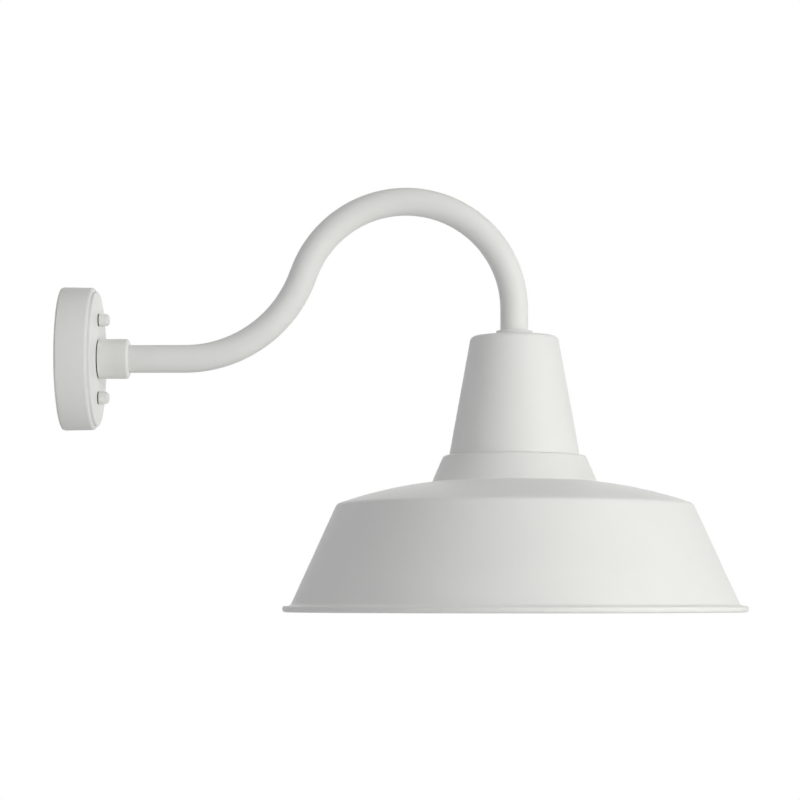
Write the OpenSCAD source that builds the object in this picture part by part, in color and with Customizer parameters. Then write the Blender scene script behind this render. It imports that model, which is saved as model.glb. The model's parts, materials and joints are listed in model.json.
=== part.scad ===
// Gooseneck barn light for a wall: a round canopy, a bent tube arm, a tapered neck and a spun shade.
// The origin is the middle of the wall face, +X points away from the wall and +Z points up.
// The arm leaves the wall along the X axis. All sizes are in millimetres.

/* [Wall canopy] */
// Outside diameter of the wall canopy at the wall
canopy_d = 128; // [120:1:140]
// Angle at which the canopy's side draws in towards its front
canopy_draft = 1; // [0:0.1:2]
// Distance from the wall to the shoulder of the canopy
canopy_depth = 29.5; // [27:0.5:36]
// Radius of the rounded front edge
canopy_edge_r = 2.5; // [1.6:0.1:4]
// Width of the flat ring between the rounded edge and the raised front disc
disc_ring_w = 0.8; // [0.4:0.1:5]
// Height of the raised front disc
disc_h = 1.5; // [1.3:0.1:3]
// Radius of the edge of the raised front disc
disc_edge_r = 0.8; // [0.2:0.1:1.2]
// Sheet thickness of the canopy
canopy_wall = 1.5; // [1:0.1:1.6]
// Compressed thickness of the foam gasket on the wall
gasket_t = 1.5; // [1:0.1:2]
// Radial width of the foam gasket
gasket_w = 6.5; // [4:0.5:8]
// How far the gasket lies inside the rim of the canopy
gasket_inset = 0.6; // [0.2:0.1:1]

/* [Mounting plate] */
// Thickness of the mounting plate
plate_t = 2; // [1.5:0.1:3]
// Diameter of the middle of the mounting plate
plate_d = 56; // [50:1:60]
// Width of the four arms of the mounting plate
plate_arm_w = 20; // [14:1:24]
// Metal left past the end slots and the stud holes
plate_edge = 4; // [3:0.5:6]
// Hole in the plate for the supply wires
plate_hole_d = 26; // [22:1:30]
// Distance between the middles of the two box screw slots
box_spacing = 79.4; // [74:0.1:84]
// End to end length of a box screw slot
box_slot_l = 14; // [8:0.5:15]
// Width of a box screw slot
box_slot_w = 4.5; // [4:0.1:5]
// Distance between the two canopy studs
stud_spacing = 69.85; // [62:0.05:78]
// Diameter of a canopy stud
stud_d = 4; // [3:0.1:5]
// Width across the flats of a stud lock nut
stud_nut_af = 7; // [6:0.5:9]
// Thickness of a stud lock nut
stud_nut_t = 3.2; // [2:0.1:5]

/* [Cap nuts] */
// Diameter of the round base of a cap nut
cap_base_d = 11.8; // [9:0.1:14]
// Height of the round base
cap_base_h = 4.2; // [3:0.1:5]
// Diameter of the dome of a cap nut
cap_dome_d = 10.8; // [8:0.1:11]
// Radius of the dome's shoulder
cap_dome_r = 3.8; // [2:0.1:4]
// Overall height of a cap nut
cap_nut_h = 9.3; // [9:0.1:14]
// Depth of the thread in a cap nut
cap_thread_h = 6.8; // [6:0.1:8]
// Outside diameter of a rubber sealing washer
seal_d = 11.4; // [10:0.1:15]
// Thickness of the rubber washers and of the hub gasket
seal_t = 1; // [0.5:0.1:2]
// How far the hub gasket lies inside the edge of the hub
hub_gasket_inset = 0.8; // [0.3:0.1:2]

/* [Hub] */
// Diameter of the hub
hub_d = 35.5; // [32:0.5:40]
// Length of the hub
hub_l = 27; // [25:0.5:36]
// Radius of the outer edge of the hub
hub_edge_r = 2.5; // [1:0.1:3]
// How deep the arm sits in the hub
arm_grip = 20; // [15:0.5:21]
// Thread diameter of the hub set screw
set_screw_d = 5; // [4:0.5:6]

/* [Pipe thread] */
// Outside diameter of the threaded nipples
pipe_d = 16.7; // [15.5:0.1:17.5]
// Bore of the threaded nipples
pipe_bore = 12.6; // [12.4:0.1:13.4]
// Width across the flats of a pipe lock nut
pipe_nut_af = 22; // [21:0.5:24]
// Thickness of a pipe lock nut
pipe_nut_t = 4.5; // [3:0.1:6]
// Outside diameter of a toothed washer
tooth_washer_d = 25; // [22:0.5:27]
// Thickness of a toothed washer
tooth_washer_t = 0.8; // [0.6:0.1:1.2]
// How far a nipple stands out of its lock nut
pipe_stand_out = 2.2; // [1:0.1:4]

/* [Gooseneck arm] */
// Outside diameter of the arm tube
arm_d = 24.8; // [24:0.1:27]
// Wall thickness of the arm tube
arm_wall = 1.5; // [1:0.1:2]
// Distance from the wall to the axis of the shade
reach = 403; // [395:0.5:440]
// Bend radius of the high arch, at the middle of the tube
arch_r = 96.8; // [85:0.1:100]
// Bend radius of the rear bend, at the middle of the tube
rear_bend_r = 112; // [100:0.5:120]
// Straight tube between the rear bend and the arch
bend_gap = 7.4; // [2:0.1:20]
// Height of the arch's centre above the axis of the hub
arch_z = 43.8; // [38:0.1:60]
// Straight tube from the arch down to the neck
arm_drop = 24.1; // [16:0.1:40]
// Length of the threaded bush in the end of the arm
end_bush_l = 14; // [10:0.5:18]

/* [Neck] */
// Diameter of the neck's foot
neck_foot_d = 116.4; // [112:0.2:122]
// Diameter that the taper would have at the top of the neck
neck_top_d = 77.6; // [72:0.2:84]
// Height of the neck
neck_h = 106.7; // [100:0.1:120]
// Radius of the neck's top edge
neck_edge_r = 5; // [2.5:0.1:8]
// Wall of the neck
neck_wall = 1.5; // [1:0.1:2]
// Radius of the small rounding round the neck's foot
neck_foot_r = 0.9; // [0.3:0.1:0.9]
// Diameter of the collar where the arm meets the neck
collar_d = 32.4; // [30:0.2:36]
// Height of that collar
collar_h = 4.8; // [3:0.1:8]
// Height of the screw posts inside the neck
post_h = 14; // [8:0.5:20]

/* [Shade] */
// Sheet thickness of the shade
shade_t = 1.2; // [0.8:0.1:1.6]
// Overall height of the shade
shade_h = 139.2; // [130:0.2:160]
// Outside diameter of the rim
rim_d = 412.8; // [400:0.4:430]
// Height of the turned down rim
rim_h = 6.8; // [5.5:0.1:10]
// Width of the flat flange of the rim
rim_w = 7; // [5.5:0.1:10]
// Radius of the top edge of the rim
rim_r = 3; // [1.8:0.1:3.5]
// Radius in the corner between the skirt and the flange
flange_r = 2; // [0.5:0.1:2]
// Angle of the shade's skirt from vertical
skirt_angle = 24.5; // [22:0.1:28]
// Radius of the shoulder between the skirt and the crown
shoulder_r = 5; // [2:0.1:9]
// Radius of the crown's shallow curve
crown_r = 390; // [370:5:440]
// Slope of the crown where it leaves the step ring
crown_slope = 6.6; // [6:0.1:9]
// Height of the step ring above the crown
ring_h = 23.6; // [18:0.1:28]
// Radius of the crown's inner edge, at the foot of the step ring
ring_foot_r = 73.6; // [71:0.1:78]
// Angle of the step ring from vertical
ring_angle = 23.6; // [18:0.1:28]
// Radius of the step ring's top edge
ring_edge_r = 3.5; // [1.8:0.1:3.5]
// Radius in the crease between the step ring and the crown
crease_r = 1.2; // [0.5:0.1:4]
// Diameter of the opening in the top of the shade
shade_hole_d = 88; // [80:1:92]
// Diameter of the circle of screws that hold the shade
shade_pcd = 103; // [102:0.5:103.5]
// Number of screws that hold the shade
shade_screw_count = 3; // [3:1:6]
// Thread diameter of the shade and lampholder screws
screw_d = 4; // [3:0.1:4]
// Head diameter of those screws
screw_head_d = 7.6; // [6:0.1:8]
// Head height of those screws
screw_head_h = 2.6; // [2:0.1:3]
// Thread length of those screws
screw_l = 10; // [8:0.5:11]

/* [Lampholder] */
// Distance from the top of the neck inside to the top of the porcelain
bracket_drop = 66.3; // [60:0.1:72]
// Strip thickness of the lampholder bracket
bracket_t = 1.5; // [1:0.1:2]
// Strip width of the lampholder bracket
bracket_w = 17; // [14:0.5:18]
// Outside width over the legs of the bracket
bracket_span = 46; // [44:0.5:50]
// Metal of each foot past the middle of its screw hole
foot_edge = 4; // [3:0.5:6]
// Inside radius of the bracket's bends
bracket_bend_r = 2; // [1:0.5:3]
// Distance between the two screws into the porcelain
holder_screw_spacing = 26; // [25:0.5:27]
// Diameter of the porcelain body
holder_d = 41; // [40:0.5:44]
// Diameter of the porcelain skirt
holder_skirt_d = 39; // [36:0.5:40]
// Height of the porcelain's wide top
holder_top_h = 18.5; // [17.5:0.5:20]
// Overall height of the porcelain body
holder_h = 51; // [48:0.5:54]
// Depth of the porcelain's cavity
cavity_h = 28; // [26:0.5:29]
// Inside diameter of the screw shell
shell_d = 26.6; // [26.6:0.1:27.2]
// Sheet thickness of the screw shell
shell_t = 0.6; // [0.4:0.1:0.8]
// Length of the screw shell
shell_l = 25; // [22:0.5:25]
// Distance from the axis to the flat floor of a terminal pocket
pocket_x = 14.5; // [14.5:0.1:15.5]
// Width of a terminal pocket
pocket_w = 13; // [12:0.5:14]
// Height of a terminal pocket
pocket_h = 16; // [15.5:0.5:16.5]
// Thickness of a terminal plate
terminal_t = 1; // [0.8:0.1:1.2]
// Width of a terminal plate
terminal_w = 9; // [8:0.5:10]
// Height of a terminal plate
terminal_h = 10; // [9:0.5:10.5]
// Diameter of a terminal screw
terminal_screw_d = 3.5; // [3:0.1:3.8]
// Head diameter of a terminal screw
terminal_head_d = 6.8; // [6:0.1:7.4]

/* [Wiring] */
// Diameter of a lead over its insulation
lead_d = 2.6; // [2:0.1:2.8]
// Diameter of a lead's bare conductor
core_d = 1.2; // [0.8:0.1:1.5]
// Distance of the line and neutral leads from the middle of the arm
lead_offset = 3.2; // [3:0.1:3.4]
// Smallest bend radius of a lead
lead_bend_r = 8; // [7:0.5:9]
// Diameter of a wire connector's mouth
connector_d = 12; // [10:0.5:13]
// Length of a wire connector
connector_l = 24; // [20:1:28]
// Thickness of the ring tags on the earth lead
tag_t = 0.8; // [0.5:0.1:1]

/* [Lamp] */
// Diameter of the lamp's glass
bulb_d = 60; // [50:1:70]
// Overall length of the lamp
lamp_l = 110; // [100:1:120]
// Wall of the lamp's glass
bulb_wall = 1; // [0.8:0.1:1.5]
// Diameter of the lamp's metal cap
lamp_cap_d = 26; // [25.6:0.1:26]

/* [Fits] */
// Radial play of a thread, a plug or a sleeve in its hole
fit = 0.05; // [0.03:0.01:0.1]
// Space between a piece and its seat where curved faces meet
seat_gap = 0.3; // [0.2:0.05:0.4]

/* [Hidden] */
$fn = 96;

// How far a cutting shape runs past the face that it cuts
cut = 1;
// Space left between the end of a stud and the bottom of its thread
thread_gap = 0.5;
// Straight stretches reach this far into the bends beside them, and are this much thinner than them
lap = 0.2;
hair = 0.03;
white = "#ebebe6";
steel = "#b9bcc0";
brass = "#c9a54c";
black = "#202020";

// Stations along X, from the wall outwards
canopy_r = canopy_d / 2;
canopy_front = canopy_depth + disc_h;
canopy_inner = canopy_front - canopy_wall;
hub_x = canopy_front + seal_t;
hub_end = hub_x + hub_l;
arm_start = hub_end - arm_grip;
pipe_washer_x = canopy_inner - tooth_washer_t;
pipe_nut_x = pipe_washer_x - tag_t - pipe_nut_t;
pipe_end_x = pipe_nut_x - pipe_stand_out;
bushing_t = 1.5;
bushing_sleeve = 4;
bushing_wall = 0.9;
bushing_x = pipe_end_x - bushing_t;
stud_end = hub_x + cap_thread_h - thread_gap;
box_stretch = (box_slot_l - box_slot_w) / 2;
plate_half_y = box_spacing / 2 + box_slot_l / 2 + plate_edge;
plate_half_z = stud_spacing / 2 + stud_nut_af / 2 + plate_edge;
nut_across = 2 / sqrt(3);

// The path of the arm: a straight, the rear bend, a short straight, the arch and a drop
arm_r = arm_d / 2;
arch_x = reach - arch_r;
bend_reach = sqrt(pow(arch_r + rear_bend_r, 2) + pow(bend_gap, 2));
rear_x = arch_x - sqrt(pow(bend_reach, 2) - pow(rear_bend_r - arch_z, 2));
arm_tilt = asin((arch_r + rear_bend_r) / bend_reach)
    + atan2(arch_z - rear_bend_r, arch_x - rear_x);

// Heights down the axis of the shade
neck_z = arch_z - arm_drop;
neck_inner_z = neck_z - neck_wall;
foot_z = neck_z - neck_h;
crown_z = foot_z - ring_h;
rim_z = foot_z - shade_h;
neck_angle = atan2((neck_foot_d - neck_top_d) / 2, neck_h);
neck_washer_z = neck_inner_z - bracket_t;
neck_nut_z = neck_washer_z - tooth_washer_t - pipe_nut_t;
neck_pipe_z = neck_nut_z - pipe_stand_out;
neck_bushing_z = neck_pipe_z - bushing_t;
holder_z = neck_inner_z - bracket_drop;
holder_foot_z = holder_z - holder_h;
cavity_z = holder_foot_z + cavity_h;
contact_t = 1;
lamp_tip_z = cavity_z - contact_t - seat_gap;

// The crown's circle, and the line of the shade's skirt
crown_c = [ring_foot_r - crown_r * sin(crown_slope), crown_z - crown_r * cos(crown_slope)];
skirt_foot = [rim_d / 2 - rim_w, rim_z + rim_h];
ring_foot = [ring_foot_r, crown_z];

// The terminals and the leads
lead_r = lead_d / 2;
core_r = core_d / 2;
core_gap = 0.1;
lead_x = pocket_x + terminal_t + core_gap + core_r;
terminal_y = lead_offset - terminal_screw_d / 2 - core_r - core_gap;
terminal_top = holder_z - pocket_h + terminal_h + 2;
terminal_z = terminal_top - terminal_h / 2;
head_x = lead_x + core_r + core_gap;
sweep_a = 40;
sweep_r = 12;
sweep_z = neck_bushing_z - 3;
sweep_run = (lead_x - 2 * sweep_r * (1 - cos(sweep_a))) / sin(sweep_a);
sweep_end_z = sweep_z - 2 * sweep_r * sin(sweep_a) - sweep_run * cos(sweep_a);
lead_turn_x = bushing_x - 0.3;
connector_x = lead_turn_x - lead_bend_r;
connector_y = lead_offset + lead_bend_r + 4;
connector_grip = 7;

// The earth lead runs in its own plane beside the studs
earth_y = -10;
earth_screw_d = 4;
earth_screw_z = -21;
earth_head_h = 2.6;
barrel_d = lead_d + 1.2;
barrel_l = 6;
barrel_end = 1;
plate_barrel_z = earth_screw_z - 4;
plate_barrel_x = plate_t + barrel_d / 2;
hub_tag_x = pipe_nut_x + pipe_nut_t;
hub_barrel_x = hub_tag_x + 0.4 - barrel_d / 2;
hub_barrel_z = -15;
earth_turn_z = min(plate_barrel_z, hub_barrel_z) - barrel_l - 3;

// The lamp
bulb_r = bulb_d / 2;
lamp_cap_r = lamp_cap_d / 2;
lamp_contact_h = 1.5;
insulator_h = 3.2;
glass_z = holder_foot_z + 0.5;
bulb_neck_h = 6;
bulb_z = lamp_tip_z - lamp_l + bulb_r;
bulb_neck_z = glass_z - bulb_neck_h;
flare_h = bulb_neck_z - bulb_z;
flare_r = (pow(lamp_cap_r, 2) + pow(flare_h, 2) - pow(bulb_r, 2)) / (2 * (bulb_r - lamp_cap_r));
flare_a = atan2(flare_h, lamp_cap_r + flare_r);

// Points along an arc about c, from angle a0 to a1
function arc(c, r, a0, a1, steps) =
    [for (i = [0:steps]) c + r * [cos(a0 + (a1 - a0) * i / steps), sin(a0 + (a1 - a0) * i / steps)]];

// Where a slanted line through p, moved sideways by off, meets the circle of radius r about c.
// The line leans inwards by angle a from vertical as it rises.
function line_meets_circle(p, a, off, c, r) =
    let (up = [-sin(a), cos(a)], q = p + off * [cos(a), sin(a)] - c)
    let (along = q * up)
    p + off * [cos(a), sin(a)] + (sqrt(along * along - q * q + r * r) - along) * up;

// The radius at height z of the slanted line through p, moved sideways by off
function line_radius(p, a, off, z) = p[0] + off / cos(a) + (p[1] - z) * tan(a);

// Lays a shape made along Z out along X instead
module along_x(x = 0) translate([x, 0, 0]) rotate([0, 90, 0]) children();

module pipe_section(r_out, r_in, thinner = 0) {
    difference() {
        circle(r_out - thinner);
        if (r_in > 0) circle(r_in + thinner);
    }
}

// A bend in an upright plane: about [x, z], from angle a0 to a1 measured from +X towards +Z
module bend(x, z, y, r, a0, a1, r_out, r_in = 0) {
    translate([x, y, z]) rotate([90, 0, 0]) rotate([0, 0, a0])
        rotate_extrude(angle = a1 - a0) translate([r, 0]) pipe_section(r_out, r_in);
}

// A straight between two bends: from [x, z], l long, heading at angle a measured from +X towards +Z
module straight(x, z, y, a, l, r_out, r_in = 0) {
    translate([x, y, z]) rotate([0, 90 - a, 0]) translate([0, 0, -lap])
        linear_extrude(l + 2 * lap) pipe_section(r_out, r_in, hair);
}

// Everything that follows the arm, from x0 near the wall down to z1 above the shade
module arm_path(x0, z1, y, r_out, r_in = 0) {
    bend_top = [rear_x, rear_bend_r] + rear_bend_r * [sin(arm_tilt), -cos(arm_tilt)];
    straight(x0 + lap, 0, y, 0, rear_x - x0 - lap, r_out, r_in);
    bend(rear_x, rear_bend_r, y, rear_bend_r, -90, arm_tilt - 90, r_out, r_in);
    straight(bend_top[0], bend_top[1], y, arm_tilt, bend_gap, r_out, r_in);
    bend(arch_x, arch_z, y, arch_r, 0, 90 + arm_tilt, r_out, r_in);
    translate([reach, y, z1]) linear_extrude(arch_z - z1 + lap) pipe_section(r_out, r_in, hair);
}

// A round piece with a pierced middle, standing on the XY plane
module washer(d, hole_d, t) {
    difference() {
        cylinder(d = d, h = t);
        translate([0, 0, -cut]) cylinder(d = hole_d, h = t + 2 * cut);
    }
}

module hex_nut(af, hole_d, t) {
    difference() {
        cylinder(d = af * nut_across, h = t, $fn = 6);
        translate([0, 0, -cut]) cylinder(d = hole_d, h = t + 2 * cut);
    }
}

// A pan head screw: the head stands above the XY plane and the thread hangs below it
module pan_screw(d, head_d, head_h, l) {
    edge = head_h * 0.6;
    rotate_extrude() polygon(concat(
        [[0, -l], [d / 2, -l], [d / 2, 0], [head_d / 2, 0]],
        arc([head_d / 2 - edge, head_h - edge], edge, 0, 90, 6),
        [[0, head_h]]));
}

module at_studs(x) {
    for (side = [-1, 1]) translate([x, 0, side * stud_spacing / 2]) rotate([0, 90, 0]) children();
}

module wall_gasket() {
    gasket_d = canopy_d - 2 * gasket_inset;
    color("#e6e6e1") along_x() washer(gasket_d, gasket_d - 2 * gasket_w, gasket_t);
}

module plate_outline() {
    difference() {
        union() {
            circle(d = plate_d);
            for (side = [-1, 1]) {
                translate([0, side * (plate_half_y - plate_arm_w / 2)]) circle(d = plate_arm_w);
                translate([side * (plate_half_z - plate_arm_w / 2), 0]) circle(d = plate_arm_w);
            }
            square([plate_arm_w, 2 * plate_half_y - plate_arm_w], center = true);
            square([2 * plate_half_z - plate_arm_w, plate_arm_w], center = true);
        }
        circle(d = plate_hole_d);
        for (side = [-1, 1]) {
            translate([0, side * box_spacing / 2]) {
                square([box_slot_w, 2 * box_stretch], center = true);
                translate([0, box_stretch]) circle(d = box_slot_w);
                translate([0, -box_stretch]) circle(d = box_slot_w);
            }
            translate([side * stud_spacing / 2, 0]) circle(d = stud_d + 2 * fit);
        }
        translate([-earth_screw_z, earth_y]) circle(d = earth_screw_d + 2 * fit);
    }
}

module mounting_plate() {
    color(steel) along_x() linear_extrude(plate_t) plate_outline();
}

module canopy_studs() {
    color(steel) at_studs(0) cylinder(d = stud_d, h = stud_end);
}

module stud_lock_nuts() {
    color(steel) at_studs(plate_t) hex_nut(stud_nut_af, stud_d + 2 * fit, stud_nut_t);
}

module earth_screw() {
    color("#2f8f4e") translate([plate_t + tag_t, earth_y, earth_screw_z]) rotate([0, 90, 0])
        pan_screw(earth_screw_d, screw_head_d, earth_head_h, plate_t + tag_t);
}

// The radius of the canopy's side at distance x from the wall, set in by off from its outer face
function canopy_side(off, x) = canopy_r - x * tan(canopy_draft) - off / cos(canopy_draft);

// The canopy's outline from the wall to the front, set in by off from its outer face
function canopy_outline(off) =
    let (back = gasket_t - (off > 0 ? cut : 0), edge_x = canopy_depth - canopy_edge_r)
    let (edge_c = [canopy_side(canopy_edge_r, edge_x), edge_x])
    let (disc_r = edge_c[0] - disc_ring_w)
    concat(
        [[0, back], [canopy_side(off, back), back]],
        arc(edge_c, canopy_edge_r - off, canopy_draft, 90, 8),
        [[disc_r - off, canopy_depth - off]],
        off > 0
            ? [[disc_r - off, canopy_front - off]]
            : arc([disc_r - disc_edge_r, canopy_front - disc_edge_r], disc_edge_r, 0, 90, 5),
        [[0, canopy_front - off]]);

module wall_canopy() {
    color(white) difference() {
        along_x() rotate_extrude() polygon(canopy_outline(0));
        along_x() rotate_extrude() polygon(canopy_outline(canopy_wall));
        along_x(canopy_inner - cut) cylinder(d = pipe_d + 4 * fit, h = canopy_wall + 2 * cut);
        at_studs(canopy_inner - cut) cylinder(d = stud_d + 1, h = canopy_wall + 2 * cut);
    }
}

module sealing_washers() {
    color(black) at_studs(canopy_front) washer(seal_d, stud_d + 4 * fit, seal_t);
}

module cap_nut() {
    edge = 0.5;
    difference() {
        rotate_extrude() polygon(concat(
            [[0, 0], [cap_base_d / 2, 0], [cap_base_d / 2, cap_base_h - edge]],
            [[cap_base_d / 2 - edge, cap_base_h], [cap_dome_d / 2, cap_base_h]],
            arc([cap_dome_d / 2 - cap_dome_r, cap_nut_h - cap_dome_r], cap_dome_r, 0, 90, 10),
            [[0, cap_nut_h]]));
        translate([0, 0, -cut]) cylinder(d = stud_d + 2 * fit, h = cap_thread_h + cut);
    }
}

module cap_nuts() {
    color(white) at_studs(hub_x) cap_nut();
}

module hub_gasket() {
    color(black) along_x(canopy_front) washer(hub_d - 2 * hub_gasket_inset, pipe_d + 4 * fit, seal_t);
}

module arm_hub() {
    edge = 0.4;
    color(white) difference() {
        along_x(hub_x) rotate_extrude() polygon(concat(
            [[0, 0], [hub_d / 2 - edge, 0], [hub_d / 2, edge]],
            arc([hub_d / 2 - hub_edge_r, hub_l - hub_edge_r], hub_edge_r, 0, 90, 10),
            [[0, hub_l]]));
        along_x(hub_x - cut) cylinder(d = pipe_d + 2 * fit, h = hub_l);
        along_x(arm_start) cylinder(d = arm_d + 2 * fit, h = arm_grip + cut);
        translate([arm_start + arm_grip / 2, 0, 0]) rotate([180, 0, 0])
            cylinder(d = set_screw_d + 2 * fit, h = hub_d);
    }
}

// A headless screw with a hex socket, screwed in from below until it bears on the arm
module hub_set_screw() {
    key_af = set_screw_d / 2;
    screw_top = -arm_r - 2 * fit;
    screw_foot = -hub_d / 2 + 1;
    color(steel) translate([arm_start + arm_grip / 2, 0, screw_foot]) difference() {
        cylinder(d = set_screw_d, h = screw_top - screw_foot);
        translate([0, 0, -cut]) cylinder(d = key_af * nut_across, h = key_af + cut, $fn = 6);
    }
}

// The same threaded pipe holds the arm to the canopy and the neck to the arm
module pipe_nipples() {
    color(steel) {
        along_x(pipe_end_x) washer(pipe_d, pipe_bore, arm_start - pipe_end_x);
        translate([reach, 0, neck_pipe_z]) washer(pipe_d, pipe_bore, neck_z + end_bush_l - neck_pipe_z);
    }
}

module toothed_washer() {
    teeth = 16;
    ring_r = tooth_washer_d / 2 - 2;
    step = 360 / teeth;
    linear_extrude(tooth_washer_t) difference() {
        union() {
            circle(r = ring_r);
            for (i = [0:teeth - 1]) rotate(i * step) polygon([
                (ring_r - 0.5) * [cos(step / 3), -sin(step / 3)],
                (ring_r + 2) * [cos(step / 6), -sin(step / 6)],
                (ring_r + 2) * [cos(step / 4), sin(step / 4)],
                (ring_r - 0.5) * [cos(step / 3), sin(step / 3)]]);
        }
        circle(d = pipe_d + 4 * fit);
    }
}

module toothed_washers() {
    color(steel) {
        along_x(pipe_washer_x) toothed_washer();
        translate([reach, 0, neck_washer_z - tooth_washer_t]) toothed_washer();
    }
}

module pipe_lock_nuts() {
    color(steel) {
        along_x(pipe_nut_x) hex_nut(pipe_nut_af, pipe_d + 2 * fit, pipe_nut_t);
        translate([reach, 0, neck_nut_z]) hex_nut(pipe_nut_af, pipe_d + 2 * fit, pipe_nut_t);
    }
}

// A plastic sleeve that keeps the leads off the sharp end of a nipple
module lead_bushing() {
    difference() {
        union() {
            cylinder(d = pipe_d - 1, h = bushing_t);
            cylinder(d = pipe_bore - 2 * fit, h = bushing_t + bushing_sleeve);
        }
        translate([0, 0, -cut])
            cylinder(d = pipe_bore - 2 * fit - 2 * bushing_wall, h = bushing_t + bushing_sleeve + 2 * cut);
    }
}

module lead_bushings() {
    color(black) {
        along_x(bushing_x) lead_bushing();
        translate([reach, 0, neck_bushing_z]) lead_bushing();
    }
}

module gooseneck_arm() {
    color(white) arm_path(arm_start, neck_z, 0, arm_r, arm_r - arm_wall);
}

module arm_end_bush() {
    color(steel) translate([reach, 0, neck_z])
        washer(arm_d - 2 * arm_wall - 2 * fit, pipe_d + 2 * fit, end_bush_l);
}

// One lead of the pair: side is 1 for the line and -1 for the neutral
module holder_lead(side) {
    y = side * lead_offset;
    run = sweep_r * [1 - cos(sweep_a), -sin(sweep_a)];
    tail_z = terminal_z - terminal_head_d / 2;
    stub_l = connector_y + connector_grip - lead_offset - lead_bend_r;
    // Out of the connector, round to the hub and along the whole arm
    translate([connector_x, side * (connector_y + connector_grip), 0]) rotate([side * 90, 0, 0])
        cylinder(r = lead_r - hair, h = stub_l + lap);
    translate([lead_turn_x, y + side * lead_bend_r, 0]) rotate([0, 0, side > 0 ? 180 : 90])
        rotate_extrude(angle = 90) translate([lead_bend_r, 0]) circle(r = lead_r);
    arm_path(lead_turn_x - 2 * lap, sweep_z - lap, y, lead_r);
    // Swept outwards to the terminal on its side of the porcelain
    translate([reach, 0, sweep_z]) rotate([0, 0, side > 0 ? 0 : 180]) {
        bend(sweep_r, 0, lead_offset, sweep_r, 180, 180 + sweep_a, lead_r);
        straight(run[0], run[1], lead_offset, sweep_a - 90, sweep_run, lead_r);
        bend(lead_x - sweep_r, sweep_end_z - sweep_z, lead_offset, sweep_r, 0, sweep_a, lead_r);
        translate([lead_x, lead_offset, terminal_top + core_gap - sweep_z])
            cylinder(r = lead_r - hair, h = sweep_end_z - terminal_top - core_gap + lap);
        translate([lead_x, lead_offset, tail_z - sweep_z])
            cylinder(r = core_r, h = terminal_top + core_gap + lap - tail_z);
    }
}

module line_lead() color(black) holder_lead(1);

module neutral_lead() color("#e8e8e8") holder_lead(-1);

// The earth lead makes one loop inside the canopy, from the plate to the hub's tag
module earth_lead() {
    turn_r = (hub_barrel_x - plate_barrel_x) / 2;
    color("#3fa05a") {
        translate([plate_barrel_x, earth_y, earth_turn_z - lap])
            cylinder(r = lead_r - hair, h = plate_barrel_z - barrel_end - earth_turn_z + lap);
        bend(plate_barrel_x + turn_r, earth_turn_z, earth_y, turn_r, 180, 360, lead_r);
        translate([hub_barrel_x, earth_y, earth_turn_z - lap])
            cylinder(r = lead_r - hair, h = hub_barrel_z - barrel_end - earth_turn_z + lap);
    }
}

module tag_barrel() {
    difference() {
        cylinder(d = barrel_d, h = barrel_l);
        translate([0, 0, -cut]) cylinder(r = lead_r + fit, h = barrel_l - barrel_end + cut);
    }
}

// Ring tags: a small one under the earth screw, and a large one under the hub's lock nut
module earth_tags() {
    tab_w = 5;
    ring_d = pipe_nut_af + 3;
    tab_foot_z = hub_barrel_z - barrel_l / 2;
    color(steel) {
        difference() {
            union() {
                translate([plate_t, earth_y, earth_screw_z]) rotate([0, 90, 0])
                    cylinder(d = screw_head_d + 0.8, h = tag_t);
                translate([plate_t, earth_y - barrel_d / 2, plate_barrel_z])
                    cube([tag_t, barrel_d, earth_screw_z - plate_barrel_z]);
                translate([plate_barrel_x, earth_y, plate_barrel_z - barrel_l]) tag_barrel();
            }
            translate([0, earth_y, earth_screw_z]) rotate([0, 90, 0])
                cylinder(d = earth_screw_d + 2 * fit, h = plate_t + tag_t + cut);
        }
        difference() {
            union() {
                along_x(hub_tag_x) cylinder(d = ring_d, h = tag_t);
                translate([hub_tag_x, earth_y - tab_w / 2, tab_foot_z])
                    cube([tag_t, tab_w, -ring_d / 4 - tab_foot_z]);
                translate([hub_barrel_x, earth_y, hub_barrel_z - barrel_l]) tag_barrel();
            }
            along_x(hub_tag_x - cut) cylinder(d = pipe_d + 4 * fit, h = tag_t + 2 * cut);
        }
    }
}

// A screw-on wire connector: a grooved mouth and a long taper to a rounded tip
module wire_connector() {
    tip_r = 3;
    mouth_h = 9;
    grooves = 12;
    difference() {
        union() {
            linear_extrude(mouth_h) difference() {
                circle(d = connector_d);
                for (i = [0:grooves - 1])
                    rotate(i * 360 / grooves) translate([connector_d / 2 + 0.4, 0]) circle(r = 0.9);
            }
            rotate_extrude() polygon(concat(
                [[0, mouth_h / 2], [connector_d / 2 - 0.8, mouth_h / 2], [connector_d / 2 - 0.8, mouth_h]],
                arc([tip_r / 2, connector_l - tip_r], tip_r, 0, 90, 6),
                [[0, connector_l]]));
        }
        translate([0, 0, -cut]) cylinder(r = lead_r + fit, h = connector_grip + cut);
    }
}

module wire_connectors() {
    color("#d9822b") for (side = [-1, 1])
        translate([connector_x, side * connector_y, 0]) rotate([-side * 90, 0, 0]) wire_connector();
}

module neck_collar() {
    edge = 0.8;
    color(white) translate([reach, 0, neck_z]) difference() {
        rotate_extrude() polygon(concat(
            [[0, 0], [collar_d / 2, 0]],
            arc([collar_d / 2 - edge, collar_h - edge], edge, 0, 90, 4),
            [[0, collar_h]]));
        translate([0, 0, -cut]) cylinder(d = arm_d + 2 * fit, h = collar_h + 2 * cut);
    }
}

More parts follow.
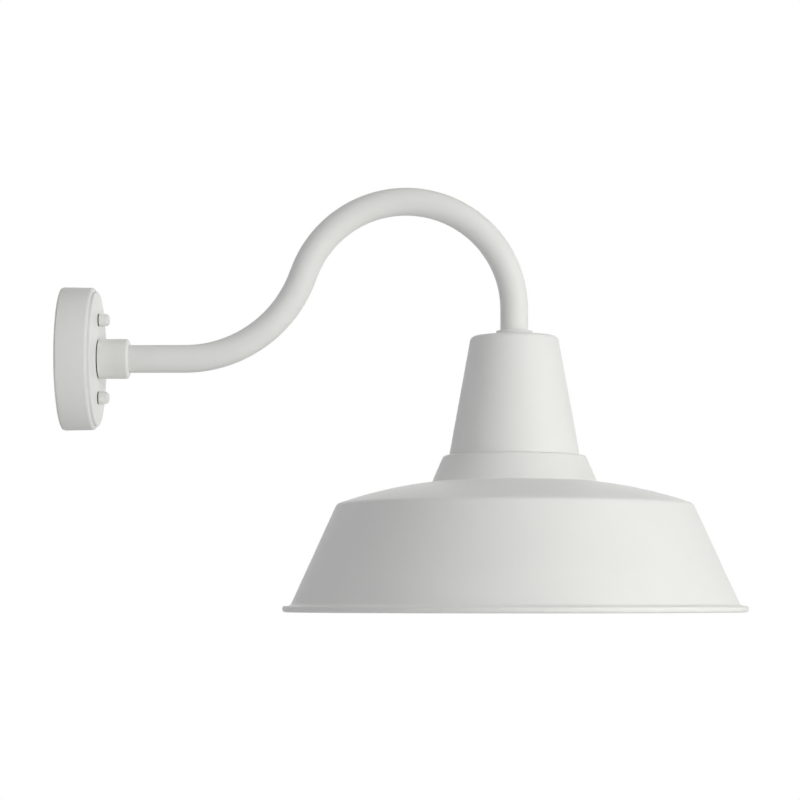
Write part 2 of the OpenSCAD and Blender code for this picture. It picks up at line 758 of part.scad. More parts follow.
// The neck's outline, set in by off from its outer face and filled to the axis
function neck_outline(off) =
    let (foot = [neck_foot_d / 2, foot_z], edge_z = neck_z - neck_edge_r, round_z = foot_z + neck_foot_r)
    let (round_c = [line_radius(foot, neck_angle, -neck_foot_r, round_z), round_z])
    let (edge_c = [line_radius(foot, neck_angle, -neck_edge_r, edge_z), edge_z])
    concat(
        off > 0
            ? [[0, foot_z - cut], [line_radius(foot, neck_angle, -off, foot_z - cut), foot_z - cut]]
            : concat([[0, foot_z]], arc(round_c, neck_foot_r, -90, neck_angle, 4)),
        arc(edge_c, neck_edge_r - off, neck_angle, 90, 10),
        [[0, neck_z - off]]);

module neck_form(off) rotate_extrude() polygon(neck_outline(off));

module at_shade_screws(z) {
    for (i = [0:shade_screw_count - 1])
        translate([reach, 0, z]) rotate(90 + i * 360 / shade_screw_count)
            translate([shade_pcd / 2, 0, 0]) children();
}

module neck_housing() {
    post_d = 12;
    color(white) difference() {
        union() {
            translate([reach, 0, 0]) difference() {
                neck_form(0);
                neck_form(neck_wall);
            }
            intersection() {
                at_shade_screws(foot_z) cylinder(d = post_d, h = post_h);
                translate([reach, 0, 0]) neck_form(neck_wall / 2);
            }
        }
        translate([reach, 0, neck_inner_z - cut]) cylinder(d = pipe_d + 4 * fit, h = neck_wall + 2 * cut);
        at_shade_screws(foot_z - cut) cylinder(d = screw_d + 2 * fit, h = post_h - 2 + cut);
    }
}

// One face of the spun shade, set in by off, from the top opening out and down to the rim
function shade_face(off) =
    let (top_z = foot_z - off)
    let (edge_z = foot_z - ring_edge_r)
    let (ring_c = [line_radius(ring_foot, ring_angle, -ring_edge_r, edge_z), edge_z])
    let (crease_c = line_meets_circle(ring_foot, ring_angle, crease_r, crown_c, crown_r + crease_r))
    let (shoulder_c = line_meets_circle(skirt_foot, skirt_angle, -shoulder_r, crown_c, crown_r - shoulder_r))
    let (flange_z = skirt_foot[1] + flange_r)
    let (flange_c = [line_radius(skirt_foot, skirt_angle, flange_r, flange_z), flange_z])
    let (crease_a = atan2(crease_c[1] - crown_c[1], crease_c[0] - crown_c[0]))
    let (shoulder_a = atan2(shoulder_c[1] - crown_c[1], shoulder_c[0] - crown_c[0]))
    concat(
        [[shade_hole_d / 2, top_z]],
        arc(ring_c, ring_edge_r - off, 90, ring_angle, 8),
        arc(crease_c, crease_r + off, 180 + ring_angle, 180 + crease_a, 6),
        arc(crown_c, crown_r - off, crease_a, shoulder_a, 14),
        arc(shoulder_c, shoulder_r - off, shoulder_a, skirt_angle, 8),
        arc(flange_c, flange_r + off, 180 + skirt_angle, 270, 5),
        arc([rim_d / 2 - rim_r, skirt_foot[1] - rim_r], rim_r - off, 90, 0, 8),
        [[rim_d / 2 - off, rim_z]]);

function backwards(points) = [for (i = [len(points) - 1:-1:0]) points[i]];

module shade() {
    color(white) difference() {
        translate([reach, 0, 0]) rotate_extrude()
            polygon(concat(shade_face(0), backwards(shade_face(shade_t))));
        at_shade_screws(foot_z - shade_t - cut) cylinder(d = screw_d + 0.5, h = shade_t + 2 * cut);
    }
}

module shade_screws() {
    color(steel) at_shade_screws(foot_z - shade_t) rotate([180, 0, 0])
        pan_screw(screw_d, screw_head_d, screw_head_h, screw_l);
}

// The end view of the bent strip: a web under the neck's top, two legs and two feet turned in
module bracket_strip() {
    outer_r = bracket_bend_r + bracket_t;
    half = bracket_span / 2;
    foot_x = holder_screw_spacing / 2 - foot_edge;
    leg_l = bracket_drop - 2 * outer_r;
    module bent(x, y, a) translate([x, y]) rotate(a) intersection() {
        pipe_section(outer_r, bracket_bend_r);
        square(outer_r + cut);
    }
    translate([0, -bracket_t / 2]) square([bracket_span - 2 * outer_r, bracket_t], center = true);
    for (side = [0, 1]) mirror([side, 0]) {
        bent(half - outer_r, -outer_r, 0);
        translate([half - bracket_t, -bracket_drop + outer_r]) square([bracket_t, leg_l]);
        bent(half - outer_r, -bracket_drop + outer_r, -90);
        translate([foot_x, -bracket_drop]) square([half - outer_r - foot_x, bracket_t]);
    }
}

module at_holder_screws(z) {
    for (side = [-1, 1]) translate([reach, side * holder_screw_spacing / 2, z]) children();
}

module lampholder_bracket() {
    color(steel) difference() {
        translate([reach - bracket_w / 2, 0, neck_inner_z]) rotate([90, 0, 90])
            linear_extrude(bracket_w) bracket_strip();
        translate([reach, 0, neck_inner_z - bracket_t - cut])
            cylinder(d = pipe_d + 4 * fit, h = bracket_t + 2 * cut);
        at_holder_screws(holder_z - cut) cylinder(d = screw_d + 0.4, h = bracket_t + 2 * cut);
    }
}

module lampholder_screws() {
    color(steel) at_holder_screws(holder_z + bracket_t)
        pan_screw(screw_d, screw_head_d, screw_head_h, screw_l);
}

// Each terminal stands on its own side of the porcelain, half a turn from the other
module at_terminals() for (turn = [0, 180]) translate([reach, 0, 0]) rotate(turn) children();

module lampholder_body() {
    edge = 1.5;
    mouth_h = 2;
    cavity_r = shell_d / 2 + shell_t + seat_gap;
    color("#f4f1ea") difference() {
        translate([reach, 0, 0]) rotate_extrude() polygon(concat(
            [[0, holder_foot_z]],
            arc([holder_skirt_d / 2 - edge, holder_foot_z + edge], edge, -90, 0, 6),
            [[holder_skirt_d / 2, holder_z - holder_top_h - edge]],
            [[holder_d / 2, holder_z - holder_top_h]],
            arc([holder_d / 2 - edge, holder_z - edge], edge, 0, 90, 6),
            [[0, holder_z]]));
        translate([reach, 0, holder_foot_z - cut]) cylinder(r = cavity_r, h = cavity_h + cut);
        translate([reach, 0, holder_foot_z - cut])
            cylinder(r1 = cavity_r + 1.5, r2 = cavity_r, h = mouth_h + cut);
        translate([reach, 0, cavity_z - cut]) cylinder(d = 3 + 2 * fit, h = holder_z - cavity_z + 2 * cut);
        translate([reach, 0, holder_z - 3]) cylinder(d = 8, h = 3 + cut);
        at_holder_screws(holder_z - screw_l) cylinder(d = screw_d + 2 * fit, h = screw_l + cut);
        at_terminals() {
            translate([pocket_x, -pocket_w / 2, holder_z - pocket_h])
                cube([holder_d, pocket_w, pocket_h + cut]);
            translate([pocket_x - 6, terminal_y, terminal_z]) rotate([0, 90, 0])
                cylinder(d = terminal_screw_d + 2 * fit, h = 6 + cut);
        }
    }
}

module screw_shell() {
    floor_hole_d = 12;
    color(brass) translate([reach, 0, cavity_z - shell_l]) difference() {
        cylinder(r = shell_d / 2 + shell_t, h = shell_l);
        translate([0, 0, -cut]) cylinder(d = shell_d, h = shell_l - shell_t + cut);
        cylinder(d = floor_hole_d, h = shell_l + cut);
    }
}

// A contact button on a rivet that passes up through the porcelain
module centre_contact() {
    button_d = 9;
    rivet_d = 3;
    color(brass) translate([reach, 0, cavity_z - contact_t]) {
        cylinder(d = button_d, h = contact_t);
        cylinder(d = rivet_d, h = holder_z - 3 - cavity_z + contact_t);
        translate([0, 0, holder_z - 3 - cavity_z + contact_t]) cylinder(d = rivet_d + 2.4, h = 1.2);
    }
}

module terminal_plates() {
    color(brass) at_terminals() difference() {
        translate([pocket_x, terminal_y - terminal_w / 2, terminal_top - terminal_h])
            cube([terminal_t, terminal_w, terminal_h]);
        translate([pocket_x - cut, terminal_y, terminal_z]) rotate([0, 90, 0])
            cylinder(d = terminal_screw_d + 2 * fit, h = terminal_t + 2 * cut);
    }
}

module terminal_screws() {
    color(brass) at_terminals() translate([head_x, terminal_y, terminal_z]) rotate([0, 90, 0])
        pan_screw(terminal_screw_d, terminal_head_d, 1.8, head_x - pocket_x + 5);
}

// One face of the lamp's glass, set in by off, from the cap down to the lowest point
function bulb_face(off) = concat(
    [[lamp_cap_r - off, glass_z]],
    arc([lamp_cap_r + flare_r, bulb_neck_z], flare_r + off, 180, 180 + flare_a, 10),
    arc([0, bulb_z], bulb_r - off, flare_a, -90, 24));

module lamp_glass() {
    color("#f2efe6") translate([reach, 0, 0]) rotate_extrude()
        polygon(concat(bulb_face(0), backwards(bulb_face(bulb_wall))));
}

module lamp_cap() {
    cap_top = lamp_tip_z - lamp_contact_h - insulator_h;
    edge = 1.5;
    color(steel) translate([reach, 0, 0]) rotate_extrude() polygon([
        [0, glass_z], [lamp_cap_r, glass_z], [lamp_cap_r, cap_top - edge],
        [lamp_cap_r - edge, cap_top], [0, cap_top]]);
}

module lamp_insulator() {
    color(black) translate([reach, 0, lamp_tip_z - lamp_contact_h - insulator_h])
        cylinder(r1 = lamp_cap_r - 1.5, r2 = 5.2, h = insulator_h);
}

module lamp_contact() {
    color(steel) translate([reach, 0, lamp_tip_z - lamp_contact_h]) rotate_extrude() polygon(concat(
        [[0, 0], [4.8, 0]],
        arc([4.8 - lamp_contact_h, 0], lamp_contact_h, 0, 90, 5),
        [[0, lamp_contact_h]]));
}

wall_gasket();
mounting_plate();
canopy_studs();
stud_lock_nuts();
earth_screw();
wall_canopy();
sealing_washers();
cap_nuts();
hub_gasket();
arm_hub();
hub_set_screw();
pipe_nipples();
toothed_washers();
pipe_lock_nuts();
lead_bushings();
gooseneck_arm();
arm_end_bush();
line_lead();
neutral_lead();
earth_lead();
earth_tags();
wire_connectors();
neck_collar();
neck_housing();
shade();
shade_screws();
lampholder_bracket();
lampholder_body();
lampholder_screws();
screw_shell();
centre_contact();
terminal_plates();
terminal_screws();
lamp_glass();
lamp_cap();
lamp_insulator();
lamp_contact();
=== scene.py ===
# %% [markdown]
# # A gooseneck barn light
# A barn light hangs over a door or a yard. A round canopy covers the box in the wall, a bent tube
# carries the lamp out and down, and a wide spun shade throws the light on the ground.
# This lesson dresses the finished construction: it loads the exact parts, models the ones that
# show again as smooth turned, bent and threaded pieces, and gives each its real surface.

# %% Load the construction
import json
import math
import bpy
from mathutils import Matrix, Vector


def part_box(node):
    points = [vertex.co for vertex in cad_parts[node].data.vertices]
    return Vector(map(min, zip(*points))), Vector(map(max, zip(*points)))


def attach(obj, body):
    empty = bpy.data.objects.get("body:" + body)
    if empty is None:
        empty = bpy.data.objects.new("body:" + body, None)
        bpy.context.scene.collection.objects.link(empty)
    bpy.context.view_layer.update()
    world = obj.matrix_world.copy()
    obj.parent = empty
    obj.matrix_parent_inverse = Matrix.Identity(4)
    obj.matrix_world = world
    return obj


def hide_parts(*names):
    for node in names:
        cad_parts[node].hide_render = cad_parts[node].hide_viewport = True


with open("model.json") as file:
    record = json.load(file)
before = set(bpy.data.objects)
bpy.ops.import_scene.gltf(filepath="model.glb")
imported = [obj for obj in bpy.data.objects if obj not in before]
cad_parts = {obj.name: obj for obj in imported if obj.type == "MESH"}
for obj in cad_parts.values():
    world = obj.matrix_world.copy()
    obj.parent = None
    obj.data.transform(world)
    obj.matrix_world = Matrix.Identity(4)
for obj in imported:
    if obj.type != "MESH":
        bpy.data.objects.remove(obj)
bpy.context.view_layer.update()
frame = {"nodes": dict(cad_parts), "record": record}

MM = 0.001

# %% [markdown]
# ## Places from the construction
# The construction says where each piece is. Its places could be typed in again, but then a change
# there would leave them behind, so the boxes of its pieces give the places and the main sizes. All
# places are in metres, +X is away from the wall and +Z up.

# %% The main places
canopy_low, canopy_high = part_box("wall_canopy")
hub_low, hub_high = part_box("arm_hub")
arm_low, arm_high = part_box("gooseneck_arm")
neck_low, neck_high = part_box("neck_housing")
shade_low, shade_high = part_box("shade")
AXIS_X = (shade_low.x + shade_high.x) / 2
OUT = Vector((1, 0, 0))
UP = Vector((0, 0, 1))
DOWN = -UP
SHADE_AXIS = Vector((AXIS_X, 0, 0))
WALL = Vector((0, 0, 0))
print("reach of the arm:", round(AXIS_X / MM, 1), "mm, rim radius:", round(shade_high.y / MM, 1), "mm")

# %% [markdown]
# ## The camera
# The camera comes first, because every look at the work goes through it. The photograph was taken
# from the side, level with the underside of the shade. To centre the object the camera could look
# up, which makes upright lines lean, or its frame could be shifted, which the views from other
# sides would keep. It does a little of both. A long lens from over two metres away keeps the near
# rim from bulging.

# %% Camera
LENS_MM = 120.47
SENSOR_MM = 36
CAMERA_PLACE = Vector((344.9 * MM, -2382.6 * MM, -214.1 * MM))
LOOK_UP = math.radians(2.194)
LOOK_LEFT = math.radians(1.054)
FRAME_SHIFT_UP = 0.12
CLIP_FAR = 60


def set_camera():
    bpy.ops.object.camera_add(location=CAMERA_PLACE, rotation=(math.radians(90) + LOOK_UP, 0, LOOK_LEFT))
    camera = bpy.context.object
    camera.name = "side_camera"
    camera.data.lens = LENS_MM
    camera.data.sensor_width = SENSOR_MM
    camera.data.shift_y = FRAME_SHIFT_UP
    camera.data.clip_end = CLIP_FAR
    bpy.context.scene.camera = camera


set_camera()
print("camera", round(-CAMERA_PLACE.y, 2), "m away, lens", LENS_MM, "mm")

# %% [markdown]
# ## Helpers for finishes
# Materials are built from nodes. One small function adds a node, sets it and links it, and another
# turns the usual hex colours, which are made for the eye, into the linear light that shaders need.
# A pattern in the nodes needs no picture file, and stays sharp however near the camera comes.

# %% Node and colour helpers
RAMP_FROM, RAMP_TO = 0.3, 0.7


def linear(hex_colour):
    """An sRGB hex colour as linear red, green, blue and alpha."""
    parts = [int(hex_colour[i:i + 2], 16) / 255 for i in (1, 3, 5)]
    return [p / 12.92 if p <= 0.04045 else ((p + 0.055) / 1.055) ** 2.4 for p in parts] + [1]


def add(tree, kind, inputs=None, **settings):
    """Adds a node; each input is a value, or another node's output to link."""
    node = tree.nodes.new(kind)
    for name, value in settings.items():
        setattr(node, name, value)
    for name, value in (inputs or {}).items():
        if isinstance(value, bpy.types.NodeSocket):
            tree.links.new(value, node.inputs[name])
        else:
            node.inputs[name].default_value = value
    return node


def new_material(name, **sockets):
    """A material with one principled shader whose fixed values are set on its own sockets."""
    material = bpy.data.materials.new(name)
    material.use_nodes = True
    tree = material.node_tree
    tree.nodes.clear()
    shader = add(tree, "ShaderNodeBsdfPrincipled", {key.replace("_", " "): v for key, v in sockets.items()})
    add(tree, "ShaderNodeOutputMaterial", {"Surface": shader.outputs["BSDF"]})
    place = add(tree, "ShaderNodeTexCoord").outputs["Object"]
    return material, tree, shader, place


def noise(tree, place, size, detail=2):
    """A noise whose blotches are about size metres across."""
    node = add(tree, "ShaderNodeTexNoise", {"Vector": place, "Scale": 1 / size, "Detail": detail})
    return node.outputs["Fac"]


def two_tone(tree, shader, amount, dark, light):
    """Mixes two colours of one finish by a pattern."""
    ramp = add(tree, "ShaderNodeValToRGB", {"Fac": amount})
    ends = ramp.color_ramp.elements
    for end, position, colour in ((ends[0], RAMP_FROM, dark), (ends[1], RAMP_TO, light)):
        end.position = position
        end.color = linear(colour)
    tree.links.new(ramp.outputs["Color"], shader.inputs["Base Color"])


def relief(tree, shader, height, depth, strength):
    """Raises a pattern by up to depth metres."""
    bump = add(tree, "ShaderNodeBump", {"Height": height, "Distance": depth, "Strength": strength})
    tree.links.new(bump.outputs["Normal"], shader.inputs["Normal"])


def vary_roughness(tree, shader, amount, low, high):
    """Lets the gloss differ a little from place to place."""
    spread = add(tree, "ShaderNodeMapRange", {"Value": amount, "To Min": low, "To Max": high})
    tree.links.new(spread.outputs["Result"], shader.inputs["Roughness"])


# %% [markdown]
# ## White powder coat
# The canopy, hub, arm, neck and shade are aluminium and steel with a matt white polyester powder
# coat. The powder melts to a skin with a fine sandy grain, about half a millimetre across, which
# breaks up the gloss so that the light falls off softly round each form. The grain could be left
# to the roughness alone, but a low relief also catches the light at the edges. It is drawn nearly
# twice as coarse as it is, so that it shows at arm's length.

# %% Powder coat
GRAIN, DRIFT = 0.9 * MM, 60 * MM


def make_powder_coat():
    material, tree, shader, place = new_material("matt_white_powder_coat", IOR=1.5)
    grain = noise(tree, place, GRAIN, 3)
    cloud = noise(tree, place, DRIFT)
    two_tone(tree, shader, cloud, "#eaeae8", "#ececea")
    vary_roughness(tree, shader, grain, low=0.58, high=0.72)
    relief(tree, shader, grain, depth=0.06 * MM, strength=0.55)
    return material


powder_coat = make_powder_coat()
print("made", powder_coat.name)

# %% [markdown]
# ## Zinc plate
# The mounting plate, studs, nuts, screws and the lampholder's bracket are mild steel with a bright
# zinc plate. Plating leaves a cool metal with faint clouds of a warmer tone, and small pieces are
# tumbled in a barrel, which dulls them with fine marks. Clouds and marks differ in size, so each
# has a noise of its own. The earth screw has the same plate, dyed green.

# %% Zinc plate
ZINC_CLOUD, ZINC_MARK = 9 * MM, 0.7 * MM


def make_zinc(name, dark, light):
    material, tree, shader, place = new_material(name, Metallic=1.0)
    cloud = noise(tree, place, ZINC_CLOUD, 4)
    marks = noise(tree, place, ZINC_MARK, 4)
    two_tone(tree, shader, cloud, dark, light)
    vary_roughness(tree, shader, marks, low=0.28, high=0.46)
    relief(tree, shader, marks, depth=0.02 * MM, strength=0.3)
    return material


zinc_plate = make_zinc("bright_zinc_plate", "#a9adb1", "#c3c6c8")
green_zinc = make_zinc("green_passivated_zinc", "#1f7a45", "#2f9a5c")
print("made", zinc_plate.name, "and", green_zinc.name)

# %% [markdown]
# ## Brass, nickel and solder
# The lampholder's shell, contact and terminals are rolled brass that has begun to tarnish, so it
# has patches of a browner tone. The lamp's cap is nickel plated brass, and its contact is a drop of
# solder. All are metals: the colour is that of the reflection and the IOR keeps its default. On
# most finishes here colour and gloss drift together, so one recipe takes the values of each.

# %% Brass and nickel
PATCH = 4 * MM


def drifting(name, size, detail, dark, light, smooth, rough, depth=0, strength=0, **sockets):
    """A finish whose colour and gloss drift together, with a relief where it has a depth."""
    material, tree, shader, place = new_material(name, **sockets)
    drift = noise(tree, place, size, detail)
    two_tone(tree, shader, drift, dark, light)
    vary_roughness(tree, shader, drift, smooth, rough)
    if depth:
        relief(tree, shader, drift, depth, strength)
    return material


rolled_brass = drifting("rolled_brass", PATCH, 5, "#a9833f", "#d6b468", 0.22, 0.38, Metallic=1.0)
nickel_plate = drifting("nickel_plated_brass", PATCH, 5, "#b7b2a8", "#cfccc4", 0.16, 0.28, Metallic=1.0)
solder = drifting("tin_solder", PATCH, 5, "#9b9c9c", "#bdbebd", 0.3, 0.5, Metallic=1.0)
print("made", rolled_brass.name, nickel_plate.name, "and", solder.name)

# %% [markdown]
# ## Rubber and foam
# The washers and the hub's gasket are black EPDM rubber, which is matt and never quite black. The
# wall gasket is die cut from white closed cell foam: its skin is pitted with cells under a
# millimetre across. A noise would look like sand, so a cell pattern makes its relief, and the same
# pattern paints each pit a little darker, as painted shade in the pits.

# %% Rubber and foam
FOAM_CELL = 0.9 * MM


def make_foam():
    material, tree, shader, place = new_material("closed_cell_foam", IOR=1.45)
    foam_cells = add(tree, "ShaderNodeTexVoronoi", {"Vector": place, "Scale": 1 / FOAM_CELL})
    pit_depth_and_pit_shade = foam_cells.outputs["Distance"]
    # painted shade: the pits are painted a little darker than the cell walls around them
    two_tone(tree, shader, pit_depth_and_pit_shade, "#dfdfda", "#e9e9e4")
    vary_roughness(tree, shader, pit_depth_and_pit_shade, low=0.8, high=0.95)
    relief(tree, shader, pit_depth_and_pit_shade, depth=0.1 * MM, strength=0.6)
    return material


black_rubber = drifting("black_rubber", 3 * MM, 3, "#161616", "#232322", 0.7, 0.85, IOR=1.52)
foam = make_foam()
print("made", black_rubber.name, "and", foam.name)

# %% [markdown]
# ## Plastics
# Wire insulation is extruded PVC with a soft sheen. The bushings are moulded nylon and the wire
# connectors moulded polypropylene, all with the faint waviness that a die or a mould leaves. A
# smooth plain colour would look like paint, so the waves are kept, shallow and a little coarse.

# %% Plastics
PVC = {"size": 2 * MM, "smooth": 0.35, "rough": 0.5}
SKIN = {"detail": 2, "depth": 0.03 * MM, "strength": 0.3, "IOR": 1.5}

black_pvc = drifting("black_pvc", dark="#131313", light="#1b1b1b", **PVC, **SKIN)
white_pvc = drifting("white_pvc", dark="#dcdad2", light="#e4e2da", **PVC, **SKIN)
green_pvc = drifting("green_pvc", dark="#1c6a33", light="#257a3d", **PVC, **SKIN)
black_nylon = drifting("black_nylon", 1.2 * MM, dark="#191919", light="#222222",
                       smooth=0.45, rough=0.6, **SKIN)
orange_polypropylene = drifting("orange_polypropylene", 1.5 * MM, dark="#cf6a1c", light="#da7826",
                                smooth=0.35, rough=0.5, **SKIN)
print("made", len([black_pvc, white_pvc, green_pvc, black_nylon, orange_polypropylene]), "plastics")

# %% [markdown]
# ## Porcelain, glass and black glass
# The lampholder is pressed porcelain under a clear glaze: a hard, bright highlight over a warm
# white body with shallow waves. The lamp is soda glass frosted inside, which looks milky, with a
# smooth outer skin. Clear glass with a rough inside would render slowly and look the same from
# here, so it is a milky surface. The insulator round its contact is black glass.

# %% Porcelain and glass
porcelain = drifting("glazed_porcelain", 6 * MM, 2, "#ebe8df", "#f0ede5", 0.08, 0.16,
                     depth=0.15 * MM, strength=0.25, IOR=1.5)
frosted_glass = drifting("inside_frosted_glass", 12 * MM, 3, "#efede6", "#f3f1eb", 0.14, 0.2, IOR=1.5)
black_glass = drifting("black_glass", 3 * MM, 2, "#0e0c10", "#1a171c", 0.05, 0.12, IOR=1.52)
print("made", porcelain.name, frosted_glass.name, "and", black_glass.name)

# %% [markdown]
# ## Every construction piece gets its finish
# The record names a material slot for each piece. The finishes could be given piece by piece, but
# one table that turns slots into finishes can't miss any, and the pieces that are modelled again
# below take theirs from it too.

# %% Finishes by slot
FINISHES = {
    "white_coat": powder_coat,
    "zinc_steel": zinc_plate,
    "green_steel": green_zinc,
    "foam": foam,
    "black_rubber": black_rubber,
    "black_plastic": black_nylon,
    "orange_plastic": orange_polypropylene,
    "black_insulation": black_pvc,
    "white_insulation": white_pvc,
    "green_insulation": green_pvc,
    "porcelain": porcelain,
    "brass": rolled_brass,
    "opal_glass": frosted_glass,
    "lamp_metal": nickel_plate,
    "black_glass": black_glass,
}
SLOT_OF = {part["node"]: part["material_slot"] for part in frame["record"]["subparts"]}


def give_finish(piece, finish):
    piece.data.materials.clear()
    piece.data.materials.append(finish)


for node_name, node_object in frame["nodes"].items():
    give_finish(node_object, FINISHES[SLOT_OF[node_name]])
print("finished", len(frame["nodes"]), "construction pieces in", len(FINISHES), "finishes")

# %% [markdown]
# ## Turned pieces
# Most of this light is round: spun on a lathe from sheet, or turned from bar. The same move works
# here. A cylinder could be bevelled into the easy ones, but a section keeps each radius exact, so a
# single vertex is drawn out along half of the section, the line is spun once round the axis, and
# the seam is merged. Corners that the real piece has rounded get an arc in the section.

# %% A lathe
SMOOTH_BELOW = math.radians(32)
ARC_STEPS = 7
SEAM_GAP = 0.004 * MM


def start_clean():
    """Leaves edit mode and selects nothing, because an operator acts on all that is selected."""
    if bpy.context.object and bpy.context.object.mode == "EDIT":
        bpy.ops.object.mode_set(mode="OBJECT")
    bpy.ops.object.select_all(action="DESELECT")


def make_active(piece):
    start_clean()
    piece.select_set(True)
    bpy.context.view_layer.objects.active = piece


def rounded(corners):
    """A section's corners (along, radius, fillet), with an arc in place of each filleted corner."""
    points = []
    for i, (along, radius, *fillet) in enumerate(corners):
        here = Vector((along, radius))
        if not fillet:
            points.append(here)
            continue
        before = (Vector(corners[i - 1][:2]) - here).normalized()
        after = (Vector(corners[(i + 1) % len(corners)][:2]) - here).normalized()
        half = before.angle(after) / 2
        arc = math.pi - 2 * half
        middle = here + (before + after).normalized() * fillet[0] / math.sin(half)
        first = here + before * fillet[0] / math.tan(half) - middle
        last = here + after * fillet[0] / math.tan(half) - middle
        for step in range(ARC_STEPS + 1):
            share = step / ARC_STEPS
            spread = math.sin((1 - share) * arc), math.sin(share * arc)
            points.append(middle + (first * spread[0] + last * spread[1]) / math.sin(arc))
    return points


def finish_piece(piece, body, slot, *nodes, smooth=SMOOTH_BELOW):
    """Puts the piece's place in its mesh, smooths it, and sets it in for the construction's nodes."""
    make_active(piece)
    bpy.ops.object.transform_apply(location=True, rotation=True, scale=True)
    bpy.ops.object.shade_smooth_by_angle(angle=smooth)
    give_finish(piece, FINISHES[slot])
    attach(piece, body)
    if nodes:
        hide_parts(*nodes)
    print(piece.name, "has", len(piece.data.polygons), "faces")
    return piece


def turned(name, section, centre, axis, closed=True, sides=96):
    """Draws a section of (along, radius) points from one vertex, and spins it round the axis."""
    start_clean()
    outwards = axis.orthogonal().normalized()
    points = [centre + axis * along + outwards * radius for along, radius in section]
    bpy.ops.mesh.primitive_plane_add(size=MM, location=points[0])
    piece = bpy.context.object
    piece.name = name
    bpy.ops.object.mode_set(mode="EDIT")
    bpy.ops.mesh.merge(type="CENTER")
    for here, there in zip(points, points[1:] + points[:1] * closed):
        bpy.ops.mesh.extrude_region_move(TRANSFORM_OT_translate={"value": there - here})
    bpy.ops.mesh.select_all(action="SELECT")
    bpy.ops.mesh.spin(steps=sides, angle=math.tau, center=centre, axis=axis)
    bpy.ops.mesh.select_all(action="SELECT")
    bpy.ops.mesh.remove_doubles(threshold=SEAM_GAP)
    bpy.ops.mesh.normals_make_consistent(inside=False)
    bpy.ops.object.mode_set(mode="OBJECT")
    return piece


# %% [markdown]
# ## Drilled holes
# Screws and pipes need their holes. Faces could be deleted and the gap sewn up by hand, but a
# boolean that cuts a cylinder out of the piece does what a drill does, and leaves the hole's wall.
# The cylinder is then thrown away.

# %% A drill
DRILL_SIDES = 48


def shape_with(piece, tool, operation="DIFFERENCE"):
    """Cuts the tool's form out of the piece, or keeps only what both share, and throws the tool away."""
    make_active(piece)
    step = piece.modifiers.new("shape", "BOOLEAN")
    step.operation = operation
    step.solver = "EXACT"
    step.object = tool
    bpy.ops.object.modifier_apply(modifier=step.name)
    make_active(tool)
    bpy.ops.object.delete()
    make_active(piece)


def drill(piece, places, axis, radius, depth):
    """Cuts round holes of a radius, each centred on its place and depth long in all."""
    turn = axis.to_track_quat("Z", "Y").to_euler()
    for place in places:
        start_clean()
        bpy.ops.mesh.primitive_cylinder_add(vertices=DRILL_SIDES, radius=radius, depth=depth,
                                            location=place, rotation=turn)
        shape_with(piece, bpy.context.object)
    return piece


# %% [markdown]
# ## The wall canopy
# The canopy is a deep pressed drum. Its side draws in by one degree towards the front, so that it
# comes off its tool. The front edge is rounded, and a flat disc stands a little proud of it,
# pressed from behind, so the inside follows the outside at the sheet's thickness. A bevelled
# cylinder would miss the draft and the step, so both sides of the sheet are turned in one section.
# Two studs pass through it, above and below the middle.

# %% Wall canopy
SHEET = 1.5 * MM
DRAFT = math.radians(1)
EDGE_R = 2.5 * MM
BACK_EDGE_R = 0.15 * MM
INNER_EDGE_R = 1 * MM
DISC_GAP = 0.8 * MM
DISC_EDGE_R = 0.8 * MM
DISC_RISE = 2.5 * MM
STEM_HOLE_R = 8.45 * MM
STUD_R = 2 * MM
STUD_HOLE_R = 2.5 * MM
nut_low, nut_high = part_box("cap_nuts")
CAP_NUT_R = 5.9 * MM
STUD_Z = nut_high.z - CAP_NUT_R
STUD_PLACES = [Vector((0, 0, STUD_Z)), Vector((0, 0, -STUD_Z))]


def drum_r(x, inset=0):
    """The radius of the canopy's side at a distance from the wall, less an inset across the sheet."""
    return canopy_high.z - (x - canopy_low.x) * math.tan(DRAFT) - inset / math.cos(DRAFT)


def make_canopy():
    back, front, shoulder = canopy_low.x, canopy_high.x, canopy_high.x - DISC_RISE
    disc_r = drum_r(shoulder - EDGE_R, EDGE_R) - DISC_GAP
    outer = [(back, drum_r(back), BACK_EDGE_R), (shoulder, drum_r(shoulder), EDGE_R),
             (shoulder, disc_r), (front, disc_r, DISC_EDGE_R), (front, STEM_HOLE_R)]
    inner = [(front - SHEET, STEM_HOLE_R), (front - SHEET, disc_r - SHEET),
             (shoulder - SHEET, disc_r - SHEET),
             (shoulder - SHEET, drum_r(shoulder - SHEET, SHEET), INNER_EDGE_R),
             (back, drum_r(back, SHEET))]
    piece = turned("canopy_drum", rounded(outer + inner), WALL, OUT, sides=160)
    drill(piece, [place + OUT * front for place in STUD_PLACES], OUT, STUD_HOLE_R, 6 * SHEET)
    return finish_piece(piece, "fixture", "white_coat", "wall_canopy")


make_canopy()

# %% [markdown]
# ## The hub
# The hub is a thick collar, turned from bar, that takes the arm. Its bore is stepped: the arm goes
# in as far as the step, and the threaded pipe passes on through it. A bore cut by a boolean would
# do, but as the hub is turned its bore is simply part of its section. Only the hole for the grub
# screw, which comes in from below, is drilled.

# %% Hub
ARM_R = arm_high.y
FIT = 0.05 * MM
HUB_EDGE_R = 2.5 * MM
HUB_BACK_EDGE_R = 0.4 * MM
HUB_MOUTH_EDGE_R = 0.3 * MM
HUB_SHOULDER = arm_low.x
set_low, set_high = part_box("hub_set_screw")
SET_SCREW_X = (set_low.x + set_high.x) / 2
SET_SCREW_R = set_high.y


